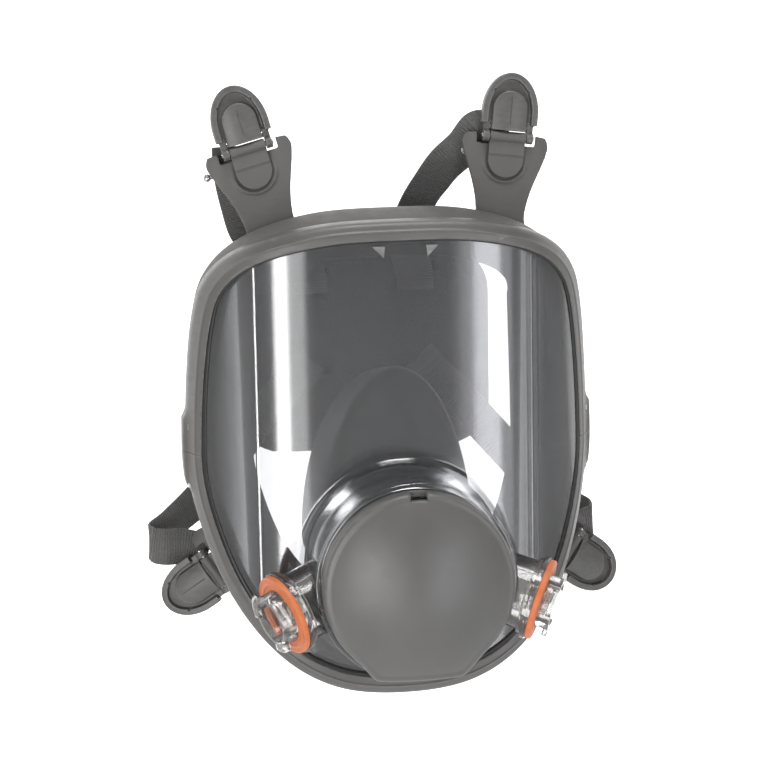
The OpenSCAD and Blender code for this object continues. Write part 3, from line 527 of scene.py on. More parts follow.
# ---- face seal ----
# A soft grey rubber moulding: a bead in the frame's groove, a wall that bulges out behind
# the frame, and a feathered lip that turns inwards against the face.
seal_sweep, seal_lip, brow_lip, brow_rise = 34, 33, 23, 2.5
SEAL = [(5.1, 5.4, 0), (5.1, 11.7, 0), (7.6, 11.7, 0), (7.6, 14.6, 0), (3.5, 16.4, 0.12), (1.5, 17, 0.6),
        (2.5, 17, 0.92), (6, 17, 1), (15, 17, 0.98), (33, 17, 0.8), (32.6, 17, 0.72), (15, 17, 0.87),
        (8, 17, 0.85), (5.2, 17, 0.55), (7.4, 17, 0.22), (11, 15, 0), (11, 5.4, 0)]
rubber_finish = moulded("grey face rubber", (0.094, 0.09, 0.086), (0.16, 0.156, 0.15), wear=0.3, grain=0.0008,
                        rough=(0.5, 0.7), bump=0.1)
seal_rows = []
for place, way in zip(ring, inward):
    brow = max(place[1] / half_h, 0) ** 4
    lip = seal_lip + (brow_lip - seal_lip) * brow
    loop = []
    for d, depth, share in SEAL:
        reach = d * (lip / seal_lip if d > 15 else 1) - (brow_rise + 2) * share * brow ** 2 * (d <= 15)
        p = place + way * reach
        y = front_y(p[0]) + depth
        loop.append((p[0], y + (-seal_sweep * (p[1] / half_h) ** 2 - y) * share, p[1]))
    seal_rows.append(softened(loop))
seal = outward(add_mesh("face_rubber", np.concatenate(seal_rows), loop_faces(RING, len(seal_rows[0])), rubber_finish))
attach(seal, "mask")
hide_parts("face_seal")


# ---- ports ----
# Each filter port is a clear turned fitting welded in the visor: a tube, a stepped flange, a
# spigot with three bayonet lugs, and a small grid that the inhalation flap closes against.
port_bore_r, spigot_r, lug_r, lug_t, flange_r, tube_in = 10, 12.3, 15.4, 2.4, 19.6, 20.5
port_floor = port_spigot - port_bore_l
grid_t = 1.6
port_clear = Finish("clear port fitting")
port_rub = port_clear.noise(0.002, 4)
port_gloss = port_clear.shade(Base_Color=(1, 1, 1), Metallic=1.0, Roughness=port_clear.between(
    port_rub, 0.3, 0.7, 0.06, 0.16), Normal=port_clear.bump(port_rub, 0.15, 0.0004))
port_through = port_clear.node("BsdfTransparent", None, {"Color": (0.9, 0.895, 0.89)})
port_cloud = port_clear.shade(Base_Color=(0.5, 0.48, 0.47), Roughness=0.5)
port_mix = port_clear.node("MixShader", None, {0: port_clear.node("Fresnel", None, {"IOR": 1.5}),
                                               1: port_through, 2: port_gloss})
port_finish = port_clear.done(port_clear.node("MixShader", None, {
    0: port_clear.between(port_rub, 0.3, 0.8, 0.02, 0.09), 1: port_mix, 2: port_cloud}))


def rounded(loop, radius, steps=4):
    """Closed loop of (radius, height) points with its corners rounded."""
    p = np.asarray(loop, float)
    out = []
    for i in range(len(p)):
        before, here, after = p[i - 1], p[i], p[(i + 1) % len(p)]
        a, b = before - here, after - here
        r = min(radius, np.linalg.norm(a) / 2.1, np.linalg.norm(b) / 2.1)
        start, end = here + unit(a) * r, here + unit(b) * r
        for t in np.linspace(0, 1, steps + 1):
            out.append((1 - t) ** 2 * start + 2 * t * (1 - t) * here + t * t * end)
    return np.array(out)


def wedge(angle, spread, r0, r1, z0, z1, steps=8):
    """Curved block between two radii, such as a bayonet lug."""
    rows = []
    for a in np.linspace(angle - spread, angle + spread, steps):
        section = rounded([(r0, z0), (r1, z0), (r1, z1), (r0, z1)], 0.45)
        rows.append([(r * math.cos(a), r * math.sin(a), z) for r, z in section])
    count = len(rows[0])
    faces = loop_faces(steps, count, closed_rows=False) + end_faces(steps, count)
    return [p for row in rows for p in row], faces


def empty_tree(name, sizes):
    """A Geometry Nodes tree with a geometry input and output and named sizes."""
    tree = bpy.data.node_groups.new(name, "GeometryNodeTree")
    tree.interface.new_socket("Geometry", in_out="INPUT", socket_type="NodeSocketGeometry")
    for label, value in sizes.items():
        kind = "NodeSocketInt" if isinstance(value, int) else "NodeSocketFloat"
        tree.interface.new_socket(label, in_out="INPUT", socket_type=kind).default_value = value
    tree.interface.new_socket("Geometry", in_out="OUTPUT", socket_type="NodeSocketGeometry")
    return tree


def spokes_tree(name, finish):
    """Geometry Nodes: flat bars around a hub, all in one plane."""
    tree = empty_tree(name, {"Spokes": 6, "Inner radius": 0.002, "Outer radius": 0.01,
                             "Bar width": 0.0014, "Bar height": 0.0016})
    link = tree.links.new
    add = tree.nodes.new
    group_in, group_out = add("NodeGroupInput"), add("NodeGroupOutput")
    length = add("ShaderNodeMath")
    length.operation = "SUBTRACT"
    link(group_in.outputs["Outer radius"], length.inputs[0])
    link(group_in.outputs["Inner radius"], length.inputs[1])
    size = add("ShaderNodeCombineXYZ")
    link(length.outputs[0], size.inputs[0])
    link(group_in.outputs["Bar width"], size.inputs[1])
    link(group_in.outputs["Bar height"], size.inputs[2])
    bar = add("GeometryNodeMeshCube")
    link(size.outputs[0], bar.inputs["Size"])
    circle = add("GeometryNodeMeshCircle")
    link(group_in.outputs["Spokes"], circle.inputs["Vertices"])
    total = add("ShaderNodeMath")
    total.operation = "ADD"
    link(group_in.outputs["Outer radius"], total.inputs[0])
    link(group_in.outputs["Inner radius"], total.inputs[1])
    half = add("ShaderNodeMath")
    half.operation = "MULTIPLY"
    half.inputs[1].default_value = 0.5
    link(total.outputs[0], half.inputs[0])
    link(half.outputs[0], circle.inputs["Radius"])
    place = add("GeometryNodeInputPosition")
    aim_at = add("FunctionNodeAlignRotationToVector")
    aim_at.axis = "X"
    link(place.outputs[0], aim_at.inputs["Vector"])
    spread = add("GeometryNodeInstanceOnPoints")
    link(circle.outputs[0], spread.inputs["Points"])
    link(bar.outputs[0], spread.inputs["Instance"])
    link(aim_at.outputs[0], spread.inputs["Rotation"])
    real = add("GeometryNodeRealizeInstances")
    link(spread.outputs[0], real.inputs[0])
    coat = add("GeometryNodeSetMaterial")
    coat.inputs["Material"].default_value = finish
    link(real.outputs[0], coat.inputs[0])
    link(coat.outputs[0], group_out.inputs[0])
    return tree


def grown(name, tree, inputs, mesh=None):
    """Runs a Geometry Nodes tree on a new object and returns its plain mesh as (points, faces)."""
    holder = bpy.data.objects.new(name, mesh or bpy.data.meshes.new(name))
    bpy.context.scene.collection.objects.link(holder)
    change = holder.modifiers.new(name, "NODES")
    change.node_group = tree
    for item in tree.interface.items_tree:
        if item.item_type == "SOCKET" and item.in_out == "INPUT" and item.name in inputs:
            change[item.identifier] = inputs[item.name]
    settle(holder)
    points = [tuple(v.co) for v in holder.data.vertices]
    faces = [tuple(p.vertices) for p in holder.data.polygons]
    bpy.data.objects.remove(holder)
    return points, faces


spokes = spokes_tree("valve spokes", port_finish)
grid_points, grid_faces = grown("port_grid", spokes, {"Spokes": 6, "Inner radius": 2.2 * MM, "Outer radius": 10.2 * MM,
                                                      "Bar width": 1.5 * MM, "Bar height": grid_t * MM})
for side, name in ((-1, "left_port"), (1, "right_port")):
    place = port_frame(side)
    body = rounded([(13, -tube_in), (port_tube_r, -tube_in), (port_tube_r, -4.6), (18, -4.6), (18, -2.4),
                    (flange_r, -2.4),
                    (flange_r, 0), (spigot_r, 0), (spigot_r, port_spigot), (port_bore_r, port_spigot),
                    (port_bore_r, port_floor - grid_t), (13, port_floor - grid_t)], 0.4)
    hub = rounded([(0.01, port_floor - grid_t), (3, port_floor - grid_t), (3, port_floor), (0.01, port_floor)], 0.3)
    parts = [turned(body), turned(hub, 24)]
    parts += [wedge(math.radians(a + 42), 0.42, spigot_r - 0.4, lug_r, port_spigot - lug_t, port_spigot)
              for a in (0, 120, 240)]
    parts = [(np.array(p) * MM, f) for p, f in parts]
    parts.append(([(x, y, z + (port_floor - grid_t / 2) * MM) for x, y, z in grid_points], grid_faces))
    fitting = joined(name + "_fitting", [(moved(p, place), f) for p, f in parts], port_finish)
    outward(fitting)
    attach(fitting, "mask")
    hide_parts(name)


# ---- port gaskets ----
# Flat rings of orange silicone that the filters seal on, with two fine raised ridges.
gasket_r, gasket_t = 18.8, 3.0
orange = Finish("orange silicone")
cloud = orange.noise(0.004, 4)
orange_colour = orange.blend(orange.between(cloud, 0.3, 0.7), (0.47, 0.115, 0.032), (0.56, 0.155, 0.05))
speck = orange.between(orange.noise(0.0009, 2), 0.62, 0.7)
orange_finish = orange.done(orange.shade(
    Base_Color=orange.blend(speck * 0.35, orange_colour, (0.66, 0.3, 0.17)),
    Roughness=orange.between(cloud, 0.3, 0.7, 0.42, 0.6), Normal=orange.bump(orange.noise(0.0006, 2), 0.12, 0.0002)))
gasket_loop = [(spigot_r + 0.1, 0), (gasket_r, 0), (gasket_r, gasket_t - 0.5), (18.1, gasket_t - 0.15),
               (17.2, gasket_t - 0.5), (16.2, gasket_t - 0.5), (15.6, gasket_t), (14.8, gasket_t),
               (14.2, gasket_t - 0.5), (spigot_r + 0.6, gasket_t - 0.4), (spigot_r + 0.1, gasket_t - 0.8)]
for side, name in ((-1, "left_port_gasket"), (1, "right_port_gasket")):
    points, faces = turned(rounded(gasket_loop, 0.5))
    gasket = joined(name + "_ring", [(moved(np.array(points) * MM, port_frame(side)), faces)], orange_finish)
    outward(gasket)
    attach(gasket, "mask")
    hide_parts(name)


# ---- valve flaps and seats ----
# Thin pale silicone discs, each lying on a small grid in a satin plastic seat.
silicone = Finish("pale valve silicone")
milk = silicone.noise(0.006, 3)
flap_finish = silicone.done(silicone.shade(
    Base_Color=silicone.blend(milk, (0.62, 0.58, 0.47), (0.5, 0.46, 0.36)), Roughness=silicone.between(milk, 0, 1, 0.3, 0.5),
    Normal=silicone.bump(silicone.noise(0.001, 2), 0.1, 0.0002)))
satin_finish = moulded("satin grey plastic", (0.08, 0.078, 0.075), (0.2, 0.2, 0.195), rough=(0.38, 0.5))
dark_finish = moulded("dark satin plastic", (0.035, 0.035, 0.036), (0.14, 0.14, 0.14), rough=(0.32, 0.46))
for node in ("left_inhalation_flap", "right_inhalation_flap", "exhalation_flap", "left_check_flap", "right_check_flap"):
    dress(node, flap_finish)
for node in ("left_check_seat", "right_check_seat", "valve_seat", "centre_adapter"):
    dress(node, satin_finish)
dress("adapter_nut", dark_finish)
dress("adapter_gasket", black_rubber_and_shadow_finish)


# ---- centre cover ----
# A domed hood of the frame's nylon pushed on the snout. It is round above and drawn down to
# a narrower open end, with a small catch slot in its top.
cover_low, cover_high = (Vector(c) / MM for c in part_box("centre_cover"))
cover_r, dome_r, cover_wall = 43.5, 75, 2.4
cover_front, cover_back = cover_low.y, cover_high.y
tail_z, tail_half = -cover_r, 20


def cover_outline(inset):
    """Outline about the snout's centre: a round top, a short flare and a flat lower end."""
    r, start = cover_r - inset, math.radians(-38)
    arc = [(r * math.cos(a), r * math.sin(a)) for a in np.linspace(start, math.pi - start, 90)]
    left = [(-tail_half - 7 + inset * 0.9, tail_z + 9 + inset * 0.4), (-tail_half + inset, tail_z + inset)]
    right = [(-x, z) for x, z in left[::-1]]
    loop = np.array(arc + left + right)
    fine = []
    for a, b in zip(loop, np.roll(loop, -1, 0)):
        parts = max(1, int(np.linalg.norm(b - a) / 1.5))
        fine.append(a + (b - a) * np.linspace(0, 1, parts, endpoint=False)[:, None])
    fine = np.concatenate(fine)
    for _ in range(2):
        fine = 0.5 * fine + 0.25 * (np.roll(fine, 1, 0) + np.roll(fine, -1, 0))
    return fine


def dome_y(p, radius):
    return cover_front + dome_r - np.sqrt(radius ** 2 - (p ** 2).sum(-1))


def lift_at(p):
    """The soft raised ridge that runs down the middle of the hood and spreads at its foot."""
    spread = 11 + 0.22 * (20 - p[..., 1])
    return 0.9 * np.exp(-(p[..., 0] / spread) ** 2) * np.clip((30 - p[..., 1]) / 40, 0, 1)


outer, count = cover_outline(0), len(cover_outline(0))
corner = 2.6
rows = []
for s in np.linspace(0.04, 1, 34):
    p = outer * s * (1 - corner / cover_r)
    rows.append(np.column_stack([p[:, 0], dome_y(p, dome_r) + 0.9 - lift_at(p) * (1 - s ** 6), p[:, 1]]))
shoulder = outer * (1 - corner / cover_r)
for a in np.linspace(0, math.pi / 2, 7)[1:]:
    p = shoulder + (outer - shoulder) * math.sin(a)
    rows.append(np.column_stack([p[:, 0], dome_y(shoulder, dome_r) + 0.9 + corner * (1 - math.cos(a)), p[:, 1]]))
edge_y = rows[-1][:, 1]
for s in (0.4, 0.8):
    rows.append(np.column_stack([outer[:, 0], edge_y * (1 - s) + (cover_back - 0.5) * s, outer[:, 1]]))
inner_edge = outer * (1 - cover_wall / cover_r)
rows.append(np.column_stack([outer[:, 0] * 0.99, np.full(count, cover_back), outer[:, 1] * 0.99]))
rows.append(np.column_stack([inner_edge[:, 0] * 1.01, np.full(count, cover_back), inner_edge[:, 1] * 1.01]))
rows.append(np.column_stack([inner_edge[:, 0], np.full(count, cover_back - 0.6), inner_edge[:, 1]]))
for s in np.linspace(1, 0.04, 20):
    p = inner_edge * s
    rows.append(np.column_stack([p[:, 0], dome_y(p, dome_r) + cover_wall + 0.9 + 0.3 * s, p[:, 1]]))
cover_rows = np.array(rows)
cover_rows[:, :, 2] += snout_z
points = list(cover_rows.reshape(-1, 3))
faces = loop_faces(len(rows), count, closed_rows=False)
for row in (0, len(rows) - 1):
    points.append(cover_rows[row].mean(0))
    pole = len(points) - 1
    faces += [(pole, row * count + (j + 1) % count, row * count + j) for j in range(count)]
cover_finish = moulded("grey nylon cover", (0.09, 0.088, 0.085), (0.2, 0.2, 0.195), grain=0.0006,
                       rough=(0.34, 0.46), bump=0.3)
cover = outward(add_mesh("hood", np.array(points), faces, cover_finish))


def block(low, high):
    """Closed box between two corners, in metres."""
    corners = [(x * MM, y * MM, z * MM) for x in (low[0], high[0]) for y in (low[1], high[1]) for z in (low[2], high[2])]
    return corners, [(0, 1, 3, 2), (4, 6, 7, 5), (0, 4, 5, 1), (2, 3, 7, 6), (0, 2, 6, 4), (1, 5, 7, 3)]


slot_w, slot_high, notch_half = 7.4, 2.4, 13
cut(cover, *block((-slot_w / 2, cover_back - 9, snout_z + cover_r - slot_high - 1.6),
                  (slot_w / 2, cover_back - 4, snout_z + cover_r + 3)), cover_finish)
cut(cover, *block((-notch_half, cover_front + 17, snout_z + tail_z - 2),
                  (notch_half, cover_back + 4, snout_z + tail_z + 4)), cover_finish)
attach(cover, "cover")
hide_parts("centre_cover")


# ---- nose cup ----
# A thin dark rubber cup over nose and mouth. Its collar grips the adapter's barrel, its
# bridge stands up in a ridge, and it widens to a soft rim against the face.
cup_half_w, cup_top, cup_chin, cup_wall = 40, 40, 75, 2.2
cup_neck_y, cup_rear_y, cup_front_y, cup_front_r, bridge = -71.5, -14, -81, 33.9, 0.35
cup_finish = moulded("dark cup rubber", (0.05, 0.049, 0.047), (0.1, 0.1, 0.097), wear=0.3, grain=0.0008,
                     rough=(0.45, 0.62), bump=0.1)


def cup_point(a, s, d):
    grow, rise = s ** 0.8, 1 - (1 - min(s / bridge, 1)) ** 2
    top, chin = max(math.sin(a), 0), max(-math.sin(a), 0)
    half = cup_front_r + (cup_half_w - cup_front_r) * grow - d
    high = cup_front_r + (cup_top - snout_z - cup_front_r) * rise - 7 * max(s - bridge, 0) / (1 - bridge) - d
    low = cup_front_r + (cup_chin + snout_z - cup_front_r) * grow - d
    x, z = half * math.cos(a), snout_z + high * top - low * chin
    y = cup_neck_y + (cup_rear_y - cup_neck_y) * s - 6 * grow * top ** 3
    flare = 4 + 14 * min(max((22 - z) / 34, 0), 1)
    ridge = 2.6 * max(0, 1 - (abs(x) / flare) ** 2) ** 0.5 * min(max((26 - z) / 10, 0), 1) if abs(x) < flare else 0
    return x, y - ridge * min(top * 3, 1), z


cup_angles = np.linspace(0, 2 * math.pi, 144, endpoint=False)
shares = np.concatenate([[0], np.linspace(0, 1, 40)[1:] ** 1.15])


def collar_row(r):
    return [(r * math.cos(a), cup_front_y, snout_z + r * math.sin(a)) for a in cup_angles]


cup_rows = [collar_row(cup_front_r)]
cup_rows += [[cup_point(a, s, 0) for a in cup_angles] for s in shares]
cup_rows += [[cup_point(a, s, cup_wall) for a in cup_angles] for s in shares[::-1]]
cup_rows.append(collar_row(cup_front_r - cup_wall))
cup = outward(add_mesh("nose_cup_shell", np.array(cup_rows).reshape(-1, 3),
                       loop_faces(len(cup_rows), len(cup_angles)), cup_finish))
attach(cup, "mask")
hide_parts("nose_cup")


# ---- ears ----
# Four flat rubber ears moulded with the seal. Each narrows to a neck, widens to two
# shoulders that bend back, and has a moulded edge line and a crescent seat for the tongue.
wire_y, ear_t = -1.7, 3.4
BUCKLES = {"upper_left": (-8, -15, 0), "upper_right": (-8, 7, 0),
           "lower_left": (0, -126, -18), "lower_right": (0, 126, 18)}


def buckle_frame(name):
    """Turning and place of a buckle: 0 on its wire, +X along it, +Z to the lever's tip."""
    joint = next(j for j in frame["joints"] if j["name"] == name + "_lever_hinge")
    turning = Euler([math.radians(a) for a in BUCKLES[name]], "XYZ").to_matrix()
    return Matrix.Translation(Vector(joint["pos_m"]) - turning @ Vector((0, wire_y * MM, 0))) @ turning.to_4x4()


def melted(name, node, voxel, passes, finish):
    """A copy of a CAD node with its sharp edges melted to small moulded radii."""
    mesh = bpy.data.meshes.new(name)
    edit = bmesh.new()
    edit.from_mesh(frame["nodes"][node].data)
    bmesh.ops.remove_doubles(edit, verts=edit.verts, dist=2e-6)
    edit.to_mesh(mesh)
    edit.free()
    piece = bpy.data.objects.new(name, mesh)
    bpy.context.scene.collection.objects.link(piece)
    grain = piece.modifiers.new("grain", "REMESH")
    grain.mode, grain.voxel_size, grain.use_smooth_shade = "VOXEL", voxel * MM, True
    radii = piece.modifiers.new("radii", "SMOOTH")
    radii.factor, radii.iterations = 0.5, passes
    settle(piece)
    piece.data.materials.clear()
    piece.data.materials.append(finish)
    return piece


def reshape(piece, place, change):
    """Moves a piece's points by a function of their place in the buckle's own frame, in millimetres."""
    count = len(piece.data.vertices)
    flat = np.zeros(count * 3)
    piece.data.vertices.foreach_get("co", flat)
    turning, origin = np.array(place.to_3x3()), np.array(place.translation)
    local = (flat.reshape(-1, 3) - origin) @ turning / MM
    for label, column in (("across", 0), ("along", 2)):
        layer = piece.data.attributes.new(label, "FLOAT", "POINT")
        layer.data.foreach_set("value", (local[:, column]).astype(np.float32))
    local = change(local.copy())
    piece.data.vertices.foreach_set("co", ((local * MM) @ turning.T + origin).reshape(-1))
    piece.data.update()


def ear_shape(p):
    x, y, z = p.T
    front = np.clip((ear_t / 2 - y) / (ear_t / 2), 0, 1)
    bend = 2.4 * np.clip((np.abs(x) - 13) / 7, 0, 1) ** 2 * np.clip((z + 16) / 16, 0, 1)
    seat_r = np.hypot(x, z + 10.5)
    crescent = np.exp(-((seat_r - 10.3) / 0.9) ** 2) * (z < -10) * np.clip((-z - 10) / 5, 0, 1)
    dish = np.clip(1 - (seat_r / 9.6) ** 6, 0, 1)
    p[:, 1] = y + bend - front * (0.9 * crescent) + front * 0.5 * dish
    return p


for name in BUCKLES:
    ear = melted(name + "_ear_rubber", name + "_ear", 0.45, 4, rubber_finish)
    reshape(ear, buckle_frame(name), ear_shape)
    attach(ear, "mask")
    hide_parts(name + "_ear")


# ---- buckles ----
# On each ear a rubber tongue wraps a steel wire and buttons down in its seat. A dished
# plastic lever with a raised rim and an arched panel turns on the wire.
panel_half = 8.2
lever_plastic = Finish("grey buckle plastic")
fine = lever_plastic.noise(0.0005, 2)
rubs = lever_plastic.noise(0.004, 5, (1, 1, 2))
across = lever_plastic.node("Attribute", {"attribute_name": "across"}, out="Fac")
reach = lever_plastic.node("Attribute", {"attribute_name": "along"}, out="Fac")
crease = lever_plastic.between(abs(across), 0.0, 0.35, 1, 0) * lever_plastic.between(reach, 5, 6) \
    * lever_plastic.between(reach, 19, 18)
high = lever_plastic.between(lever_plastic.node("NewGeometry", out="Pointiness"), 0.505, 0.57)
# Painted shade: the lever's colour is darkened towards near black in its concave hollows, where shade falls.
low = lever_plastic.between(lever_plastic.node("NewGeometry", out="Pointiness"), 0.49, 0.43)
lever_base = lever_plastic.blend(lever_plastic.between(rubs, 0.3, 0.7), (0.075, 0.073, 0.07), (0.098, 0.095, 0.092))
lever_worn = lever_plastic.blend(high * 0.6, lever_base, (0.22, 0.217, 0.21))
lever_finish = lever_plastic.done(lever_plastic.shade(
    Base_Color=lever_plastic.blend(low * 0.7, lever_worn, (0.03, 0.03, 0.03)),
    Roughness=lever_plastic.between(rubs, 0.3, 0.8, 0.34, 0.5),
    Normal=lever_plastic.bump(fine, 0.14, 0.0002, lever_plastic.bump(crease, 0.7, 0.0004))))


def lever_shape(p):
    x, y, z = p.T
    panel = (np.abs(x) < panel_half + 0.2) & (z < 22) & (z > 2)
    arch = 1.5 * (x / panel_half) ** 2 + 0.5 * np.clip((z - 12) / 10, 0, 1) ** 2
    p[:, 1] = y + np.where(panel, arch * np.clip((-y - 1.5) / 2, 0, 1), 0)
    tip = np.clip((z - 16) / 14, 0, 1) ** 2
    p[:, 1] += 0.9 * tip
    return p


def tongue_shape(p):
    x, y, z = p.T
    front = np.clip((-y - 1.2) / 1.2, 0, 1)
    step = 0.5 / (1 + np.exp((z + 8.2) * 4))
    ridge = 0.35 * np.exp(-((z + 8.2) / 0.7) ** 2)
    p[:, 1] = y + front * (step - ridge) * (z < -3)
    return p


for name in BUCKLES:
    place = buckle_frame(name)
    tongue = melted(name + "_tongue_rubber", name + "_tongue", 0.35, 3, rubber_finish)
    reshape(tongue, place, tongue_shape)
    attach(tongue, "mask")
    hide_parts(name + "_tongue")
    lever = melted(name + "_lever_dish", name + "_lever", 0.34, 3, lever_finish)
    reshape(lever, place, lever_shape)
    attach(lever, name + "_lever")
    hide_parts(name + "_lever")
    dress(name + "_wire", steel_finish)


# ---- harness straps ----
# Four elastic webbing straps with fine ribs woven across them run from the buckles to the
# crown pad, where they end on its front face. They are held at both ends.
strap_w, strap_t, core_t, rib_pitch = 18, 1.8, 1.1, 1.25
pad_y, pad_t, pad_rise = 42, 3, 29
slots_z = pad_rise + 15
end_y = 1 - strap_t / 2 - 0.1
ROUTES = {
    "upper_left": ([(-6.8, 8, 0), (-6.3, 6.2, -13), (-3.3, 10, -27), (0.7, 16, -40)],
                   [(-55, -38, 47), (-46, -24, 39), (-36, -10, 32), (-28, end_y - 0.5, 24), (-27, end_y, 15)],
                   [(0, -1, 0), (0, -1, 0), (0, -1, -0.1), (0, -0.9, -0.3), (0.2, -0.6, -0.7),
                    (0.3, -0.5, -0.8), (0.2, -0.7, -0.6), (0, -1, -0.2), (0, -1, 0)]),
    "upper_right": ([(-2, 6.4, -3), (-8, 6.4, 1.5), (-13, 6, 3.4), (-19.5, 6.6, -4.6), (-28, 9.6, -12.8),
                     (-33.6, 15.6, -21.9), (-37.6, 23.6, -30.4)],
                    [(19.5, -32, 55.5), (19, -22, 45.5), (21, -11, 35.5), (25.5, end_y - 0.5, 24), (26, end_y, 15)],
                    [(0, -1, 0)] * 4 + [(0, -1, -0.1), (0, -0.9, -0.3), (0, -0.8, -0.5), (0, -0.7, -0.6),
                                        (0, -0.7, -0.7), (0, -0.8, -0.5), (0, -1, -0.2), (0, -1, 0)]),
    "lower_left": ([(-3, 4.5, 8), (-14.5, 7.5, 10.5), (-23.5, 7, 11), (-29, 9.5, 12), (-28.5, 14.5, 14), (-19, 20.5, 19)],
                   [(-80, -16, -76), (-52, -4, -44), (-33, end_y - 0.5, -26), (-27, end_y, -19)],
                   [(-0.3, -1, 0), (-0.3, -1, 0), (-0.4, -1, 0), (-1, -0.1, 0.1), (-0.7, 0.8, 0.2), (-0.6, 1, 0.2),
                    (-0.5, 0.9, -0.2), (-0.4, 1, -0.3), (0, 1, 0), (0, 1, 0)]),
    "lower_right": ([(3, 4, 8), (9, 5, 10), (14, 9, 11.5), (12, 15, 14), (3, 22, 19)],
                    [(76, -15, -74), (50, -4, -44), (33, end_y - 0.5, -26), (27, end_y, -19)],
                    [(0.3, -1, 0), (0.4, -1, 0), (1, -0.1, 0.1), (0.7, 0.8, 0.2), (0.6, 1, 0.2), (0.5, 0.9, -0.2),
                     (0.4, 1, -0.3), (0, 1, 0), (0, 1, 0)]),
}
webbing = Finish("ribbed elastic webbing")
weave = webbing.noise(0.0007, 2, (1, 1, 1))
fade = webbing.noise(0.02, 3)
thread = webbing.node("TexVoronoi", {"feature": "F1"}, {"Vector": webbing.place(), "Scale": 1500}, out="Distance")
web_colour = webbing.blend(webbing.between(fade, 0.3, 0.7), (0.085, 0.083, 0.08), (0.125, 0.122, 0.118))
strap_finish = webbing.done(webbing.shade(
    Base_Color=webbing.blend(webbing.between(thread, 0.2, 0.7) * 0.5, web_colour, (0.03, 0.03, 0.03)),
    Roughness=webbing.between(weave, 0.3, 0.7, 0.6, 0.8), Sheen_Weight=0.25, Sheen_Roughness=0.5,
    Normal=webbing.bump(thread, 0.35, 0.0003, webbing.bump(weave, 0.2, 0.0002))))


def rib_tree(finish):
    """Geometry Nodes: oval bars across a centre line, one each pitch along it."""
    tree = empty_tree("webbing ribs", {"Pitch": 0.0012, "Length": 0.018, "Thickness": 0.0018, "Rib width": 0.0009})
    add, link = tree.nodes.new, tree.links.new
    group_in, group_out = add("NodeGroupInput"), add("NodeGroupOutput")
    path = add("GeometryNodeMeshToCurve")
    link(group_in.outputs["Geometry"], path.inputs[0])
    spaced = add("GeometryNodeResampleCurve")
    spaced.mode = "LENGTH"
    link(path.outputs[0], spaced.inputs["Curve"])
    link(group_in.outputs["Pitch"], spaced.inputs["Length"])
    bar = add("GeometryNodeMeshCylinder")
    bar.inputs["Vertices"].default_value = 8
    bar.inputs["Radius"].default_value = 0.5
    bar.inputs["Depth"].default_value = 1
    size = add("ShaderNodeCombineXYZ")
    link(group_in.outputs["Thickness"], size.inputs[0])
    link(group_in.outputs["Rib width"], size.inputs[1])
    link(group_in.outputs["Length"], size.inputs[2])
    shaped = add("GeometryNodeTransform")
    link(bar.outputs[0], shaped.inputs["Geometry"])
    link(size.outputs[0], shaped.inputs["Scale"])
    facing = add("FunctionNodeAxesToRotation")
    facing.primary_axis, facing.secondary_axis = "Z", "X"
    for label, socket in (("across", 0), ("out", 1)):
        read = add("GeometryNodeInputNamedAttribute")
        read.data_type = "FLOAT_VECTOR"
        read.inputs["Name"].default_value = label
        link(read.outputs["Attribute"], facing.inputs[socket])
    spread = add("GeometryNodeInstanceOnPoints")
    link(spaced.outputs[0], spread.inputs["Points"])
    link(shaped.outputs[0], spread.inputs["Instance"])
    link(facing.outputs[0], spread.inputs["Rotation"])
    real = add("GeometryNodeRealizeInstances")
    link(spread.outputs[0], real.inputs[0])
    coat = add("GeometryNodeSetMaterial")
    coat.inputs["Material"].default_value = finish
    link(real.outputs[0], coat.inputs[0])
    link(coat.outputs[0], group_out.inputs[0])
    return tree


ribs = rib_tree(strap_finish)
for name, (near, far, ways) in ROUTES.items():
    wire = np.array(buckle_frame(name).translation) / MM
    route = np.array([wire + p for p in near] + [np.array([0, pad_y, slots_z]) + p for p in far])
    line, facing = spline(route, 12), spline(ways, 12)
    run = unit(np.gradient(line, axis=0))
    across_way = unit(np.cross(run, facing))
    out_way = np.cross(across_way, run)
    guide = bpy.data.meshes.new("centre line")
    guide.from_pydata((line * MM).tolist(), [(i, i + 1) for i in range(len(line) - 1)], [])
    for label, ways_now in (("across", across_way), ("out", out_way)):
        layer = guide.attributes.new(label, "FLOAT_VECTOR", "POINT")
        layer.data.foreach_set("vector", ways_now.astype(np.float32).reshape(-1))
    rib_points, rib_faces = grown("ribs", ribs, {"Pitch": rib_pitch * MM, "Length": (strap_w - 0.6) * MM,
                                                 "Thickness": strap_t * MM, "Rib width": 0.95 * MM}, guide)
    section = rounded([(-strap_w / 2, -core_t / 2), (strap_w / 2, -core_t / 2), (strap_w / 2, core_t / 2),
                       (-strap_w / 2, core_t / 2)], 0.5)
    core = [tuple((line[i] + across_way[i] * u + out_way[i] * v) * MM) for i in range(len(line)) for u, v in section]
    count = len(section)
    core_faces = loop_faces(len(line), count, closed_rows=False) + end_faces(len(line), count)
    strap = outward(joined(name + "_webbing", [(core, core_faces), (rib_points, rib_faces)], strap_finish))
    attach(strap, "mask")
    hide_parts(name + "_strap")


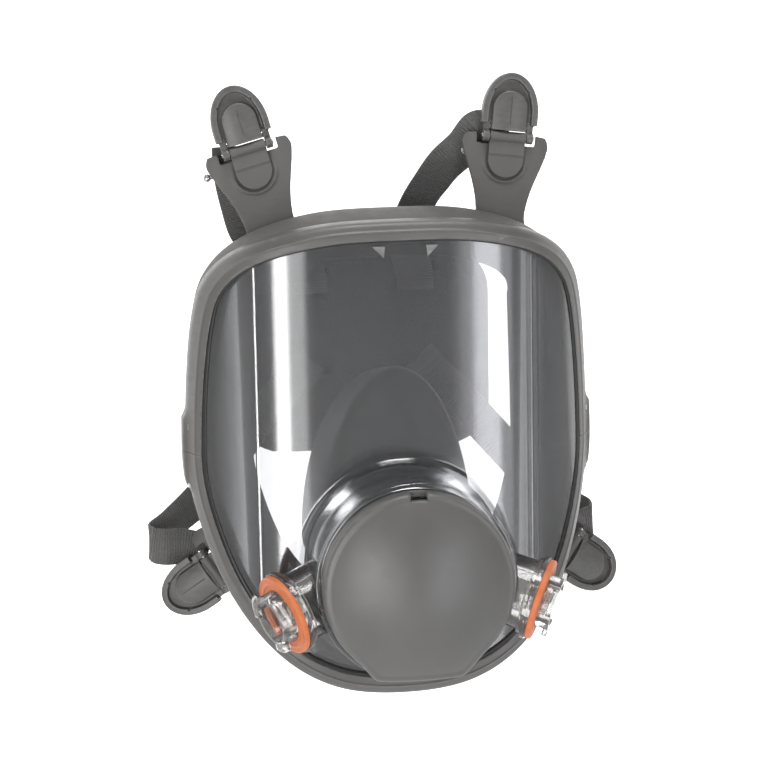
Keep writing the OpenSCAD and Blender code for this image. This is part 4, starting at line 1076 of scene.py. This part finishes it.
# ---- crown pad ----
# A dark fabric-covered foam pad that rests on the back of the head, with crowned faces, a
# line pressed in round its edge, and four slots. The straps lie over its front.
pad_w, pad_h = 126, 100
knit = Finish("dark knitted fabric")
loops = knit.node("TexVoronoi", {"feature": "F1"}, {"Vector": knit.place((1, 1, 0.7)), "Scale": 900}, out="Distance")
worn = knit.noise(0.03, 4)
knit_colour = knit.blend(knit.between(worn, 0.3, 0.7), (0.05, 0.049, 0.048), (0.075, 0.074, 0.073))
knit_finish = knit.done(knit.shade(
    Base_Color=knit.blend(knit.between(loops, 0.15, 0.75), knit_colour, (0.02, 0.02, 0.02)),
    Roughness=knit.between(worn, 0.3, 0.7, 0.75, 0.9), Sheen_Weight=0.3, Sheen_Roughness=0.5,
    Normal=knit.bump(loops, 0.5, 0.0005)))
pad = melted("crown_pad_cushion", "crown_pad", 0.8, 3, knit_finish)
flat = np.zeros(len(pad.data.vertices) * 3)
pad.data.vertices.foreach_get("co", flat)
p = flat.reshape(-1, 3) / MM
u, v = p[:, 0] / (pad_w / 2), (p[:, 2] - pad_rise) / (pad_h / 2)
edge_share = np.maximum(np.abs(u), np.abs(v))
swell = np.clip(1 - edge_share ** 5, 0, 1)
mid = pad_y + 1 + pad_t / 2
seam_line = np.exp(-((edge_share - 0.9) / 0.012) ** 2)
p[:, 1] = mid + (p[:, 1] - mid) * (0.62 + 0.38 * swell) * (1 - 0.35 * seam_line)
pad.data.vertices.foreach_set("co", (p * MM).reshape(-1))
pad.data.update()
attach(pad, "mask")
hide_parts("crown_pad")

# A cloth patch behind each slot closes it. The real pad's back is unknown, so these are a guess.
patch_w, patch_h, patch_t, slot_x, slot_rise = 28, 11, 0.7, 27, 25
patches = []
for sx in (-1, 1):
    for sz in (-1, 1):
        loop = rounded([(-patch_w / 2, -patch_h / 2), (patch_w / 2, -patch_h / 2), (patch_w / 2, patch_h / 2),
                        (-patch_w / 2, patch_h / 2)], 2)
        rows = [[((sx * slot_x + u * k) * MM, (pad_y + 1 + pad_t - 0.5 + d) * MM, (slots_z + sz * slot_rise + w * k) * MM)
                 for u, w in loop] for k, d in ((0.96, -0.35), (1, 0), (1, patch_t), (0.96, patch_t + 0.2))]
        side_faces = loop_faces(4, len(loop), closed_rows=False) + end_faces(4, len(loop))
        patches.append(([p for row in rows for p in row], side_faces))
patch = outward(joined("slot_patches", patches, knit_finish))
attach(patch, "mask")
